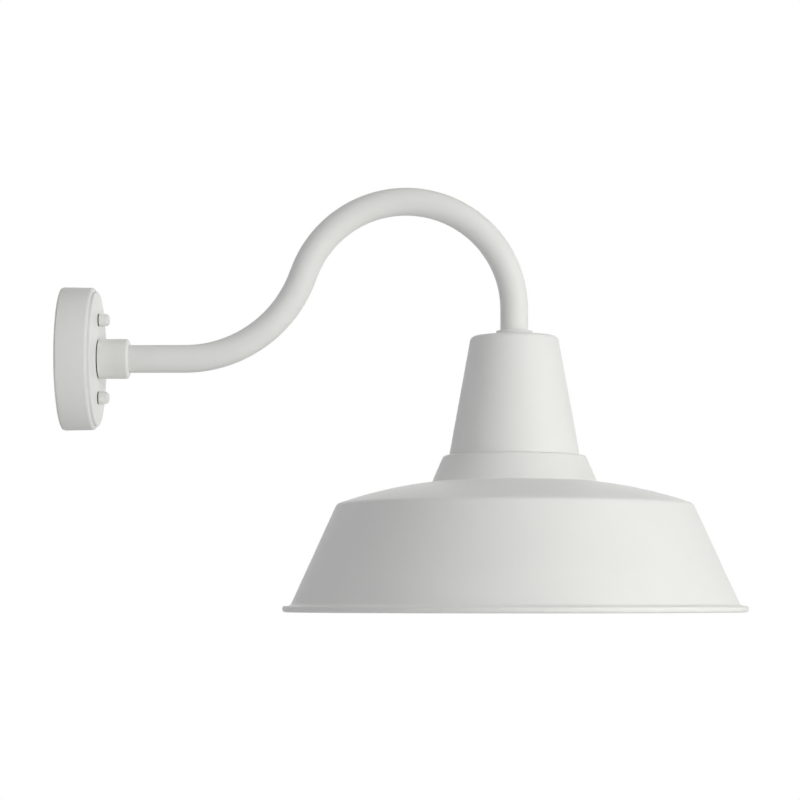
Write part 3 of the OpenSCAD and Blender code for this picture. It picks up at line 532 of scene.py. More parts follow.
def make_hub():
    radius, back, front = hub_high.z, hub_low.x, hub_high.x
    section = [(back, radius, HUB_BACK_EDGE_R), (front, radius, HUB_EDGE_R),
               (front, ARM_R + FIT, HUB_MOUTH_EDGE_R), (HUB_SHOULDER, ARM_R + FIT),
               (HUB_SHOULDER, STEM_HOLE_R), (back, STEM_HOLE_R)]
    piece = turned("hub_collar", rounded(section), WALL, OUT)
    drill(piece, [Vector((SET_SCREW_X, 0, -radius))], UP, SET_SCREW_R + FIT, 2 * (radius - ARM_R))
    return finish_piece(piece, "fixture", "white_coat", "arm_hub")


make_hub()

# %% [markdown]
# ## Cap nuts
# Above and below the hub a cap nut holds the canopy on its stud: a round base under a domed cap. It
# stands on black rubber, which shows as a thin dark line. Both nuts are alike, so one is turned and
# bored, and its mesh is copied for the other stud.

# %% Cap nuts
CAP_DOME_R = 5.4 * MM
CAP_DOME_EDGE_R = 3.8 * MM
CAP_BASE_H = 4.2 * MM
CAP_BASE_EDGES = 0.3 * MM, 0.5 * MM, 0.15 * MM
CAP_THREAD_H = 8 * MM


def copied(piece, name, move):
    """Another piece like this one, with a mesh of its own."""
    make_active(piece)
    bpy.ops.object.duplicate()
    bpy.ops.transform.translate(value=move)
    bpy.context.object.name = name
    return bpy.context.object


def make_cap_nuts():
    back, top = nut_low.x, nut_high.x
    step = back + CAP_BASE_H
    low_edge, high_edge, foot_edge = CAP_BASE_EDGES
    section = [(back, 0), (back, CAP_NUT_R, low_edge), (step, CAP_NUT_R, high_edge),
               (step, CAP_DOME_R, foot_edge), (top, CAP_DOME_R, CAP_DOME_EDGE_R), (top, 0)]
    upper = turned("cap_nut_upper", rounded(section), STUD_PLACES[0], OUT, closed=False, sides=64)
    drill(upper, [STUD_PLACES[0] + OUT * back], OUT, STUD_R + FIT, 2 * CAP_THREAD_H)
    lower = copied(upper, "cap_nut_lower", STUD_PLACES[1] - STUD_PLACES[0])
    for piece in (upper, lower):
        finish_piece(piece, "fixture", "white_coat", "cap_nuts")


make_cap_nuts()

# %% [markdown]
# ## The gooseneck
# The arm is one length of tube, pushed round two formers in a bending machine. Here a ring of
# edges takes the same road: it is drawn out straight, spun up round the rear former, drawn a
# little further, and spun over the high arch until it points down. A curve with a round bevel
# would be quicker, but spinning about the formers' own centres keeps both bends true circles.
# Solidify gives the tube its wall.

# %% Gooseneck arm
TUBE_WALL = 1.5 * MM
REAR_BEND_R = 112 * MM
ARCH_R = 96.8 * MM
BEND_GAP = 7.4 * MM
REAR_STEPS, ARCH_STEPS = 36, 72
ARCH_Z = arm_high.z - ARM_R - ARCH_R
ARCH_X = AXIS_X - ARCH_R


def bend_places():
    """Where the rear bend starts, and how steeply it leaves, so that both bends run smoothly on."""
    between = math.hypot(ARCH_R + REAR_BEND_R, BEND_GAP)
    rear_x = ARCH_X - math.sqrt(between ** 2 - (REAR_BEND_R - ARCH_Z) ** 2)
    lean = math.asin((ARCH_R + REAR_BEND_R) / between)
    return rear_x, lean + math.atan2(ARCH_Z - REAR_BEND_R, ARCH_X - rear_x)


def give_wall(piece, thickness, offset=-1, even=False):
    """Gives a skin its thickness: inwards at an offset of -1, to both sides at 0."""
    wall = piece.modifiers.new("wall", "SOLIDIFY")
    wall.thickness = thickness
    wall.offset = offset
    wall.use_even_offset = even
    bpy.ops.object.modifier_apply(modifier=wall.name)


def make_arm():
    rear_x, tilt = bend_places()
    start_clean()
    bpy.ops.mesh.primitive_circle_add(vertices=64, radius=ARM_R, location=(arm_low.x, 0, 0),
                                      rotation=(0, math.radians(90), 0))
    piece = bpy.context.object
    piece.name = "bent_tube"
    bpy.ops.object.mode_set(mode="EDIT")
    bpy.ops.mesh.select_all(action="SELECT")
    bpy.ops.mesh.extrude_region_move(TRANSFORM_OT_translate={"value": (rear_x - arm_low.x, 0, 0)})
    bpy.ops.mesh.spin(steps=REAR_STEPS, angle=tilt, center=(rear_x, 0, REAR_BEND_R), axis=(0, 1, 0))
    gap = BEND_GAP * Vector((math.cos(tilt), 0, math.sin(tilt)))
    bpy.ops.mesh.extrude_region_move(TRANSFORM_OT_translate={"value": gap})
    bpy.ops.mesh.spin(steps=ARCH_STEPS, angle=tilt + math.radians(90), center=(ARCH_X, 0, ARCH_Z),
                      axis=(0, -1, 0))
    bpy.ops.mesh.extrude_region_move(TRANSFORM_OT_translate={"value": (0, 0, arm_low.z - ARCH_Z)})
    bpy.ops.mesh.select_all(action="SELECT")
    bpy.ops.mesh.normals_make_consistent(inside=False)
    bpy.ops.object.mode_set(mode="OBJECT")
    give_wall(piece, TUBE_WALL)
    return finish_piece(piece, "fixture", "white_coat", "gooseneck_arm")


arm = make_arm()
print("box of the arm, mm:", [round(v / MM, 1) for v in arm.dimensions])

# %% [markdown]
# ## The collar
# Where the arm meets the neck there is a thin ring with a softened edge, which hides the joint. It
# could be a torus, but the real one is flat below, so it is turned from its own section.

# %% Collar
collar_low, collar_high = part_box("neck_collar")
COLLAR_EDGE_R = 0.8 * MM


def make_collar():
    base, top, radius = collar_low.z, collar_high.z, collar_high.y
    section = [(base, ARM_R + FIT), (base, radius), (top, radius, COLLAR_EDGE_R), (top, ARM_R + FIT)]
    piece = turned("arm_collar", rounded(section), SHADE_AXIS, UP)
    return finish_piece(piece, "fixture", "white_coat", "neck_collar")


make_collar()

# %% [markdown]
# ## The neck
# The neck is a spun cone with a rounded top edge. It closes the lampholder in and hangs from the
# arm. Inside its foot are three short posts for the screws of the shade. Each is a drilled
# cylinder, cut along the slant of the wall so that it sinks into it, and joined to the cone. A
# boolean union would give the same look with many thin faces, so it is left out.

# %% Neck
NECK_FOOT_R = 58.2 * MM
NECK_TOP_R = 38.8 * MM
NECK_EDGE_R = 5 * MM
NECK_FOOT_EDGE_R = 0.9 * MM
POST_CUT_SHARE = 0.6
POST_R = 6 * MM
POST_H = 14 * MM
SCREW_CIRCLE_R = 51.5 * MM
SCREW_R = 2 * MM
SHADE_SCREWS = 3


def neck_r(height):
    """The outside radius of the neck's taper at a height."""
    share = (height - neck_low.z) / (neck_high.z - neck_low.z)
    return NECK_FOOT_R + (NECK_TOP_R - NECK_FOOT_R) * share


def screw_places(height):
    """The places round the neck's foot where the shade is screwed on."""
    turns = [math.radians(90 + 360 * i / SHADE_SCREWS) for i in range(SHADE_SCREWS)]
    middle = SHADE_AXIS + UP * height
    return [middle + Vector((math.cos(a), math.sin(a), 0)) * SCREW_CIRCLE_R for a in turns]


def make_neck():
    foot, top, under = neck_low.z, neck_high.z, neck_high.z - SHEET
    wall = SHEET / math.cos(math.atan2(NECK_FOOT_R - NECK_TOP_R, top - foot))
    section = [(foot, neck_r(foot), NECK_FOOT_EDGE_R), (top, neck_r(top), NECK_EDGE_R),
               (top, STEM_HOLE_R), (under, STEM_HOLE_R),
               (under, neck_r(under) - wall, NECK_EDGE_R - SHEET), (foot, neck_r(foot) - wall)]
    piece = turned("neck_cone", rounded(section), SHADE_AXIS, UP, sides=128)
    posts = [make_post(place, wall) for place in screw_places(foot + POST_H / 2)]
    start_clean()
    for part in posts + [piece]:
        part.select_set(True)
    bpy.context.view_layer.objects.active = piece
    bpy.ops.object.join()
    return finish_piece(piece, "fixture", "white_coat", "neck_housing")


def make_post(place, wall):
    """A drilled post, cut off along the slant of the neck's wall."""
    start_clean()
    bpy.ops.mesh.primitive_cylinder_add(vertices=40, radius=POST_R, depth=POST_H, location=place)
    post = bpy.context.object
    outwards = (place - SHADE_AXIS) * Vector((1, 1, 0))
    outwards.normalize()
    rise = (NECK_FOOT_R - NECK_TOP_R) / (neck_high.z - neck_low.z)
    bpy.ops.object.mode_set(mode="EDIT")
    bpy.ops.mesh.select_all(action="SELECT")
    on_wall = SHADE_AXIS + outwards * (neck_r(place.z) - wall * POST_CUT_SHARE) + UP * place.z
    bpy.ops.mesh.bisect(plane_co=on_wall, plane_no=outwards + UP * rise, clear_outer=True, use_fill=True)
    bpy.ops.object.mode_set(mode="OBJECT")
    return drill(post, [place - UP * MM], UP, SCREW_R + FIT, POST_H - MM)


make_neck()

# %% [markdown]
# ## The spun shade
# The shade is one disc of aluminium, spun on a lathe over a chuck. From the opening in the middle
# its section runs down the step ring, over a shallow crown, round the shoulder, down the straight
# skirt and out to a flat flange with a turned down rim, whose edge is rolled inwards so that no
# hand is cut on it. Both faces could be drawn, as for the canopy, but here the sheet is even all
# over, so only the outer face is spun and Solidify gives it its thickness.

# %% Spun shade
SHADE_SHEET = 1.2 * MM
OPENING_R = 44 * MM
RING_FOOT_R = 73.6 * MM
RING_H = 23.6 * MM
RING_ANGLE = math.radians(23.6)
CROWN_R = 390 * MM
CROWN_SLOPE = math.radians(6.6)
CROWN_STEPS = 16
SKIRT_ANGLE = math.radians(24.5)
FLANGE_W = 7 * MM
RIM_H = 5.7 * MM
RIM_LIP = 4 * MM
RING_TOP_EDGE_R, RING_FOOT_EDGE_R = 3.5 * MM, 1.2 * MM
SHOULDER_EDGE_R = 6.5 * MM
FLANGE_EDGE_R = 4.5 * MM
RIM_TOP_EDGE_R, RIM_LOW_EDGE_R = 2.4 * MM, 2.6 * MM
SHADE_HOLE_R = SCREW_R + 0.25 * MM


def crown_meets_skirt(middle, foot):
    """Where the slanted skirt, going up from its foot, meets the crown's circle."""
    up = Vector((math.cos(SKIRT_ANGLE), -math.sin(SKIRT_ANGLE)))
    from_middle = foot - middle
    along = from_middle.dot(up)
    return foot + up * (math.sqrt(along ** 2 - from_middle.length_squared + CROWN_R ** 2) - along)


def make_shade():
    top, rim_r, rim_z = neck_low.z, shade_high.y, shade_low.z
    crown_z, flange_z = top - RING_H, rim_z + RIM_H
    middle = Vector((crown_z - CROWN_R * math.cos(CROWN_SLOPE),
                     RING_FOOT_R - CROWN_R * math.sin(CROWN_SLOPE)))
    shoulder = crown_meets_skirt(middle, Vector((flange_z, rim_r - FLANGE_W)))
    turn = math.atan2(shoulder.y - middle.y, shoulder.x - middle.x) - CROWN_SLOPE
    steps = [CROWN_SLOPE + turn * (i + 1) / CROWN_STEPS for i in range(CROWN_STEPS - 1)]
    crown = [(middle.x + CROWN_R * math.cos(a), middle.y + CROWN_R * math.sin(a)) for a in steps]
    section = [(top, OPENING_R),
               (top, RING_FOOT_R - RING_H * math.tan(RING_ANGLE), RING_TOP_EDGE_R),
               (crown_z, RING_FOOT_R, RING_FOOT_EDGE_R), *crown,
               (shoulder.x, shoulder.y, SHOULDER_EDGE_R),
               (flange_z, rim_r - FLANGE_W, FLANGE_EDGE_R), (flange_z, rim_r, RIM_TOP_EDGE_R),
               (rim_z, rim_r, RIM_LOW_EDGE_R), (rim_z, rim_r - RIM_LIP)]
    piece = turned("spun_shade", rounded(section), SHADE_AXIS, UP, closed=False, sides=192)
    give_wall(piece, SHADE_SHEET, even=True)
    drill(piece, screw_places(top), UP, SHADE_HOLE_R, 4 * SHADE_SHEET)
    return finish_piece(piece, "fixture", "white_coat", "shade")


shade = make_shade()
print("box of the shade, mm:", [round(v / MM, 1) for v in shade.dimensions])

# %% [markdown]
# ## Rubber under the nuts and the hub
# Each cap nut squeezes a rubber washer onto the canopy, the hub has a rubber ring, and a foam ring
# keeps rain out behind the canopy. Rubber that is squeezed bulges a little, so their edges are
# rounded. A torus would be too round for all of them, so each is a flat ring that fills its box.

# %% Washers and gaskets
SEAL_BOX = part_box("sealing_washers")
HUB_RING_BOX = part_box("hub_gasket")
FOAM_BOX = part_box("wall_gasket")
RUBBER_EDGE_R = 0.35 * MM
FOAM_EDGE_R = 0.15 * MM
FOAM_W = 6.5 * MM


def ring(name, centre, box, inside, edge, sides=64):
    """A flat ring with rounded edges, as thick and as wide as its box."""
    low, high = box
    corners = (low.x, inside), (low.x, high.y), (high.x, high.y), (high.x, inside)
    return turned(name, rounded([(*corner, edge) for corner in corners]), centre, OUT, sides=sides)


def make_seals():
    upper = ring("cap_washer_upper", STUD_PLACES[0], SEAL_BOX, STUD_R + 2 * FIT, RUBBER_EDGE_R)
    lower = copied(upper, "cap_washer_lower", STUD_PLACES[1] - STUD_PLACES[0])
    under_hub = ring("hub_ring", WALL, HUB_RING_BOX, STEM_HOLE_R, RUBBER_EDGE_R)
    on_wall = ring("foam_ring", WALL, FOAM_BOX, FOAM_BOX[1].y - FOAM_W, FOAM_EDGE_R, 128)
    for piece in (upper, lower):
        finish_piece(piece, "fixture", "black_rubber", "sealing_washers")
    finish_piece(under_hub, "fixture", "black_rubber", "hub_gasket")
    finish_piece(on_wall, "fixture", "foam", "wall_gasket")


make_seals()

# %% [markdown]
# ## Threads
# A thread is one small ridge wound round a bar. The ridge's outline for a single turn is drawn
# from one vertex, and the Screw modifier winds it up the bar as often as needed. The two ends are
# then cut flat. A bump in the material would be lighter, but would stay flat at the edges. The fine
# threads keep their real pitch, because they show from behind and below.

# %% A thread cutter
SPARE_TURNS = 3
MERGE_GAP = 0.002 * MM


def threaded(name, start, axis, length, outline, pitch, sides, close=True):
    """Winds an outline of (share of the pitch, radius) along the axis, and cuts its ends off flat."""
    start_clean()
    side = axis.orthogonal().normalized()
    bpy.ops.mesh.primitive_plane_add(size=MM, location=start)
    piece = bpy.context.object
    piece.name = name
    bpy.ops.object.mode_set(mode="EDIT")
    bpy.ops.mesh.merge(type="CENTER")
    points = [axis * pitch * (share - 2) + side * radius for share, radius in outline]
    bpy.ops.transform.translate(value=points[0])
    for here, there in zip(points, points[1:]):
        bpy.ops.mesh.extrude_region_move(TRANSFORM_OT_translate={"value": there - here})
    bpy.ops.object.mode_set(mode="OBJECT")
    wind = piece.modifiers.new("wind", "SCREW")
    wind.axis = "X" if axis.x else "Z"
    wind.screw_offset = pitch
    wind.iterations = math.ceil(length / pitch) + SPARE_TURNS
    wind.steps = wind.render_steps = sides
    bpy.ops.object.modifier_apply(modifier=wind.name)
    bpy.ops.object.mode_set(mode="EDIT")
    for place, way in ((start, -axis), (start + axis * length, axis)):
        bpy.ops.mesh.select_all(action="SELECT")
        bpy.ops.mesh.remove_doubles(threshold=MERGE_GAP)
        bpy.ops.mesh.bisect(plane_co=place, plane_no=way, clear_outer=True, use_fill=close)
    bpy.ops.mesh.select_all(action="SELECT")
    bpy.ops.mesh.normals_make_consistent(inside=False)
    bpy.ops.object.mode_set(mode="OBJECT")
    return piece


def ridge(radius, depth):
    """The outline of a cut thread: a slope up, a narrow crest and a slope down."""
    crest_from, crest_to = 0.4, 0.6
    return [(0, radius - depth), (crest_from, radius), (crest_to, radius), (1, radius - depth)]


# %% [markdown]
# ## Studs and nuts
# Two studs stand on the mounting plate, each locked by a hexagon nut. A nut is cut from hexagon
# bar, and both its faces are turned off at the corners. A bevel would cut its flats as well as its
# corners, so it is made as what a hexagonal prism and a turned disc share.

# %% Canopy studs and their lock nuts
stud_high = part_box("canopy_studs")[1]
lock_low, lock_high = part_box("stud_lock_nuts")
STUD_PITCH = 0.7 * MM
STUD_THREAD_D = 0.35 * MM
# shares of a nut's corner radius: the flat of its face, and the height of the turned off corner
NUT_FACE_SHARE = 0.89
NUT_SLOPE_SHARE = 0.066


def hex_nut(name, centre, axis, low, high, across, hole_r):
    """A hexagon of a width across its flats, with its corners turned off towards both faces."""
    corner = across / math.sqrt(3)
    flat_r = NUT_FACE_SHARE * corner
    slope_h, past = NUT_SLOPE_SHARE * corner, corner + MM
    section = [(low, 0), (low, flat_r), (low + slope_h, past), (high - slope_h, past),
               (high, flat_r), (high, 0)]
    disc = turned(name, rounded(section), centre, axis, closed=False)
    middle = centre + axis * (low + high) / 2
    turn = axis.to_track_quat("Z", "Y").to_euler()
    start_clean()
    bpy.ops.mesh.primitive_cylinder_add(vertices=6, radius=corner, depth=2 * (high - low),
                                        location=middle, rotation=turn)
    shape_with(disc, bpy.context.object, "INTERSECT")
    return drill(disc, [middle], axis, hole_r, 2 * (high - low))


def make_studs():
    for place, name in zip(STUD_PLACES, ("upper", "lower")):
        outline = ridge(STUD_R, STUD_THREAD_D)
        stud = threaded("stud_" + name, place, OUT, stud_high.x, outline, STUD_PITCH, sides=20)
        finish_piece(stud, "fixture", "zinc_steel", "canopy_studs")
        across = 2 * lock_high.y
        nut = hex_nut("stud_nut_" + name, place, OUT, lock_low.x, lock_high.x, across, STUD_R + FIT)
        finish_piece(nut, "fixture", "zinc_steel", "stud_lock_nuts")


make_studs()

# %% [markdown]
# ## Screws
# All the small screws are pan heads: a low dome with a softened edge. Those driven by machine have
# a cross recess, and the ones that clamp the wires have a plain slot. The recess is pressed in
# after the head is formed, so here too a block cuts it last. Their threads are hidden in what they
# hold, so the shanks stay plain.

# %% A screw maker
RECESS_TURN = 20
RECESS_EDGE_R = 0.12 * MM
TIP_EDGE_R = 0.3 * MM
HEAD_EDGE_R = 0.2 * MM
# shares of the head's height
DOME_SHARE = 0.6
RECESS_DEPTH_SHARE = 1.1
# shares of the head's radius
RECESS_WIDTH_SHARE = 0.24
CROSS_LENGTH_SHARE = 1.1
SLOT_LENGTH_SHARE = 2.4


def bar(place, axis, across, size):
    """A block of size (width, length, depth), with its depth along the axis, for cutting a recess."""
    start_clean()
    turn = axis.to_track_quat("Z", "Y")
    bpy.ops.mesh.primitive_cube_add(size=1, location=place, rotation=(turn @ across).to_euler())
    block = bpy.context.object
    block.scale = size
    bpy.ops.object.transform_apply(location=False, rotation=False, scale=True)
    bpy.ops.object.mode_set(mode="EDIT")
    bpy.ops.mesh.select_all(action="SELECT")
    bpy.ops.mesh.bevel(offset=RECESS_EDGE_R, segments=1, affect="EDGES")
    bpy.ops.object.mode_set(mode="OBJECT")
    return block


def pan_screw(name, seat, axis, radius, head_r, head_h, length, recess="cross"):
    """A screw whose head sits on the seat, with the axis pointing out of the head."""
    section = [(-length, 0), (-length, radius, TIP_EDGE_R), (0, radius), (0, head_r, HEAD_EDGE_R),
               (head_h, head_r, head_h * DOME_SHARE), (head_h, 0)]
    piece = turned(name, rounded(section), seat, axis, closed=False, sides=48)
    top = seat + axis * head_h
    turns, share = ((0, 90), CROSS_LENGTH_SHARE) if recess == "cross" else ((0,), SLOT_LENGTH_SHARE)
    size = (head_r * RECESS_WIDTH_SHARE, head_r * share, head_h * RECESS_DEPTH_SHARE)
    for degrees in turns:
        across = Matrix.Rotation(math.radians(degrees + RECESS_TURN), 3, "Z").to_quaternion()
        shape_with(piece, bar(top, axis, across, size))
    return piece


# %% [markdown]
# ## The screws in their places
# Three screws go up through the shade into the neck's posts, two go down through the bracket into
# the lampholder, and one holds the earth wire to the plate, green so that nobody takes it for
# another. A screw could be modelled once and copied, but these differ in length, so the maker
# builds each one to the length that its box in the frame leaves under the head.

# %% Screws of the shade, the lampholder and the earth
shade_screw_low, shade_screw_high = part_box("shade_screws")
holder_screw_low, holder_screw_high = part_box("lampholder_screws")
earth_low, earth_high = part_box("earth_screw")
HEAD_R = 3.8 * MM
HEAD_H = 2.6 * MM
HOLDER_SCREW_Y = holder_screw_high.y - HEAD_R


def make_screws():
    seat = shade_screw_low.z + HEAD_H
    length = shade_screw_high.z - seat
    for number, place in enumerate(screw_places(seat), 1):
        piece = pan_screw("shade_screw_%d" % number, place, DOWN, SCREW_R, HEAD_R, HEAD_H, length)
        finish_piece(piece, "fixture", "zinc_steel", "shade_screws")
    seat = holder_screw_high.z - HEAD_H
    for name, side in (("left", 1), ("right", -1)):
        place = Vector((AXIS_X, side * HOLDER_SCREW_Y, seat))
        length = seat - holder_screw_low.z
        piece = pan_screw("holder_screw_" + name, place, UP, SCREW_R, HEAD_R, HEAD_H, length)
        finish_piece(piece, "fixture", "zinc_steel", "lampholder_screws")
    middle = (earth_low + earth_high) / 2
    seat = Vector((earth_high.x - HEAD_H, middle.y, middle.z))
    piece = pan_screw("earth_screw_green", seat, OUT, SCREW_R, HEAD_R, HEAD_H, seat.x - earth_low.x)
    finish_piece(piece, "fixture", "green_steel", "earth_screw")


make_screws()

# %% [markdown]
# ## Nipples, lock nuts and bushings
# Short threaded pipes join the arm to the canopy at one end and to the neck at the other. Each has
# a hexagon nut and a toothed washer, and a smooth nylon sleeve that keeps the wires off its end. The
# two sets are alike but lie along different axes, so one loop makes both from a table of places.

# %% Pipe nipples, nuts and bushings
nipple_low, nipple_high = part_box("pipe_nipples")
pipe_nut_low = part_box("pipe_lock_nuts")[0]
bushing_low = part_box("lead_bushings")[0]
PIPE_R = 8.35 * MM
PIPE_BORE_R = 6.3 * MM
PIPE_PITCH = 1.4 * MM
PIPE_THREAD_D = 0.7 * MM
PIPE_NUT_H = 4.5 * MM
PIPE_NUT_ACROSS = 22 * MM
BUSHING_T = 1.5 * MM
BUSHING_L = 5.5 * MM
BUSHING_WALL = 0.9 * MM
BUSHING_MOUTH_EDGE_R, BUSHING_HEAD_EDGE_R, BUSHING_END_EDGE_R = 0.4 * MM, 0.5 * MM, 0.2 * MM
BUSHING_HEAD_R = PIPE_R - 0.5 * MM
NECK_NUT_Z = neck_high.z - 8.3 * MM
NECK_PIPE_Z = NECK_NUT_Z - (pipe_nut_low.x - nipple_low.x)


def bushing(name, centre, axis, low):
    """A sleeve in the pipe's bore with a flat head, as a section of its wall."""
    sleeve, bore = PIPE_BORE_R - FIT, PIPE_BORE_R - FIT - BUSHING_WALL
    section = [(low, bore, BUSHING_MOUTH_EDGE_R), (low, BUSHING_HEAD_R, BUSHING_HEAD_EDGE_R),
               (low + BUSHING_T, BUSHING_HEAD_R), (low + BUSHING_T, sleeve),
               (low + BUSHING_L, sleeve, BUSHING_END_EDGE_R), (low + BUSHING_L, bore)]
    return turned(name, rounded(section), centre, axis, sides=64)


def make_pipe_fittings():
    # name, centre, axis, the pipe's start and length, and where the nut and the bushing begin
    ends = (("wall", WALL, OUT, nipple_low.x, arm_low.x - nipple_low.x,
             pipe_nut_low.x, bushing_low.x),
            ("neck", SHADE_AXIS, UP, NECK_PIPE_Z, nipple_high.z - NECK_PIPE_Z,
             NECK_NUT_Z, NECK_PIPE_Z - BUSHING_T))
    for name, centre, axis, start, length, nut_at, bushing_at in ends:
        place = centre + axis * start
        outline = ridge(PIPE_R, PIPE_THREAD_D)
        pipe = threaded("nipple_" + name, place, axis, length, outline, PIPE_PITCH, sides=64)
        drill(pipe, [place + axis * length / 2], axis, PIPE_BORE_R, 2 * length)
        finish_piece(pipe, "fixture", "zinc_steel", "pipe_nipples")
        nut = hex_nut("pipe_nut_" + name, centre, axis, nut_at, nut_at + PIPE_NUT_H,
                      PIPE_NUT_ACROSS, PIPE_R + FIT)
        finish_piece(nut, "fixture", "zinc_steel", "pipe_lock_nuts")
        sleeve = bushing("bushing_" + name, centre, axis, bushing_at)
        finish_piece(sleeve, "fixture", "black_plastic", "lead_bushings")


make_pipe_fittings()

# %% [markdown]
# ## Pieces that keep the construction's form
# The plate, the bracket, the tags, the wires and the porcelain already have their exact form. Each
# is taken over as a copy: its triangles are merged, flat faces are made whole again, and a small
# bevel gives the edge that stamping, bending or pressing leaves, because a perfectly sharp edge
# never catches the light.

# %% Softened edges
FLAT_WITHIN = math.radians(0.5)
EDGE_OVER = math.radians(40)


def softened(node, name, edge, slot):
    """A copy of a construction piece with bevelled edges, which then stands for it."""
    source = frame["nodes"][node]
    piece = bpy.data.objects.new(name, source.data.copy())
    bpy.context.collection.objects.link(piece)
    make_active(piece)
    bpy.ops.object.mode_set(mode="EDIT")
    bpy.ops.mesh.select_all(action="SELECT")
    bpy.ops.mesh.remove_doubles(threshold=MERGE_GAP)
    bpy.ops.mesh.dissolve_limited(angle_limit=FLAT_WITHIN)
    bpy.ops.object.mode_set(mode="OBJECT")
    if edge:
        soften = piece.modifiers.new("soften", "BEVEL")
        soften.width = edge
        soften.segments = 2
        soften.limit_method = "ANGLE"
        soften.angle_limit = EDGE_OVER
        bpy.ops.object.modifier_apply(modifier=soften.name)
    return finish_piece(piece, "fixture", slot, node)


for node, name, edge_mm, slot in (
        ("mounting_plate", "plate", 0.25, "zinc_steel"),
        ("lampholder_bracket", "bracket", 0.2, "zinc_steel"),
        ("earth_tags", "ring_tags", 0.1, "zinc_steel"),
        ("toothed_washers", "tooth_lock_washers", 0.1, "zinc_steel"),
        ("hub_set_screw", "grub_screw", 0.15, "zinc_steel"),
        ("arm_end_bush", "end_bush", 0.2, "zinc_steel"),
        ("wire_connectors", "wire_caps", 0.15, "orange_plastic"),
        ("lampholder_body", "holder_porcelain", 0.5, "porcelain"),
        ("centre_contact", "contact_strip", 0.1, "brass"),
        ("terminal_plates", "terminals", 0.12, "brass")):
    softened(node, name, edge_mm * MM, slot)

# %% [markdown]
# ## Wires
# The line and neutral wires run through the whole arm. Their insulation is stripped at the
# lampholder, and the bare copper is clamped under the terminal screws. They could be swept again
# along curves, but the construction's own wires have every bend, so they are taken over, and the
# faces below the stripped height get the copper.

# %% Wires and their bare ends
BARE_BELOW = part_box("terminal_plates")[1].z
copper = drifting("bare_copper", PATCH, 5, "#a8643f", "#c98a62", 0.22, 0.36, Metallic=1.0)


def make_wires():
    for node, name, slot in (("line_lead", "line_wire", "black_insulation"),
                             ("neutral_lead", "neutral_wire", "white_insulation"),
                             ("earth_lead", "earth_wire", "green_insulation")):
        wire = softened(node, name, 0, slot)
        wire.data.materials.append(copper)
        for face in wire.data.polygons:
            face.material_index = int(face.center.z < BARE_BELOW)


make_wires()

# %% [markdown]
# ## Terminal screws
# A brass screw on each side clamps a wire. Its plain slot is made for a flat driver, so the same
# screw maker cuts a single recess, long enough to run out at both sides of the head.

# %% Terminal screws
term_low, term_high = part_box("terminal_screws")
TERM_R = 1.75 * MM
TERM_HEAD_R = 3.4 * MM
TERM_HEAD_H = 2 * MM
TERM_L = 6 * MM
TERMINAL_Y = term_high.y - TERM_HEAD_R


def make_terminal_screws():
    mid_z = (term_low.z + term_high.z) / 2
    seat_x = term_high.x - AXIS_X - TERM_HEAD_H
    for name, side in (("line", 1), ("neutral", -1)):
        seat = Vector((AXIS_X + side * seat_x, side * TERMINAL_Y, mid_z))
        piece = pan_screw("terminal_screw_" + name, seat, OUT * side, TERM_R, TERM_HEAD_R, TERM_HEAD_H,
                          TERM_L, "slot")
        finish_piece(piece, "fixture", "brass", "terminal_screws")


make_terminal_screws()

# %% [markdown]
# ## Screw shell
# The lamp's cap and the shell that takes it are both rolled from thin brass: a coarse round thread
# with seven turns to the inch. Stacked rings would look alike from afar, but would not rise as a
# thread does, so its outline is a wave, wound up the same way as the fine threads.

# %% Screw shell
shell_low, shell_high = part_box("screw_shell")
CAP_PITCH = 25.4 / 7 * MM
WAVE_STEPS = 8
SHELL_R = 13.55 * MM
SHELL_WAVE_H = 0.5 * MM
SHELL_SHEET = 0.3 * MM


def wave(middle, height):
    """One turn of a rolled thread, as a wave about a middle radius."""
    shares = [i / WAVE_STEPS for i in range(WAVE_STEPS + 1)]
    return [(share, middle + height / 2 * math.sin(math.tau * share)) for share in shares]


def make_shell():
    start = SHADE_AXIS + UP * shell_low.z
    piece = threaded("rolled_shell", start, UP, shell_high.z - shell_low.z,
                     wave(SHELL_R, SHELL_WAVE_H), CAP_PITCH, sides=64, close=False)
    give_wall(piece, SHELL_SHEET, offset=0)
    return finish_piece(piece, "fixture", "brass", "screw_shell")


make_shell()

# %% [markdown]
# ## The lamp
# The lamp is a standard round bulb, the one thing here that comes out, so its pieces ride on the
# lamp's own body and move together. The glass is blown into a ball that flares in to a narrow
# neck. A sphere joined to a cone would leave a crease, so the section has an arc tangent to the
# ball, and the whole glass is turned at once.

# %% Lamp
glass_low, glass_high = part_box("lamp_glass")
cap_low, cap_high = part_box("lamp_cap")
insulator_low, insulator_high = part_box("lamp_insulator")
tip_low, tip_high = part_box("lamp_contact")
BULB_R = glass_high.y
CAP_R = cap_high.y
BULB_NECK_H = 6 * MM
GLASS_T = 1 * MM
GLASS_SMOOTH_UNDER = math.radians(50)
BALL_STEPS, FLARE_STEPS = 40, 12


def glass_section():
    """The bulb from its pole up to the cap: a ball, a flare tangent to it and a short neck."""
    ball_z, neck_z = glass_low.z + BULB_R, glass_high.z - BULB_NECK_H
    rise = neck_z - ball_z
    flare_r = (CAP_R ** 2 + rise ** 2 - BULB_R ** 2) / (2 * (BULB_R - CAP_R))
    meet = math.atan2(rise, CAP_R + flare_r)
    ball = [(-math.pi / 2) + (meet + math.pi / 2) * i / BALL_STEPS for i in range(BALL_STEPS + 1)]
    points = [Vector((ball_z + BULB_R * math.sin(a), BULB_R * math.cos(a))) for a in ball]
    flare = [meet * (1 - i / FLARE_STEPS) for i in range(1, FLARE_STEPS + 1)]
    points += [Vector((neck_z - flare_r * math.sin(a), CAP_R + flare_r * (1 - math.cos(a)))) for a in flare]
    return points + [Vector((glass_high.z, CAP_R))]


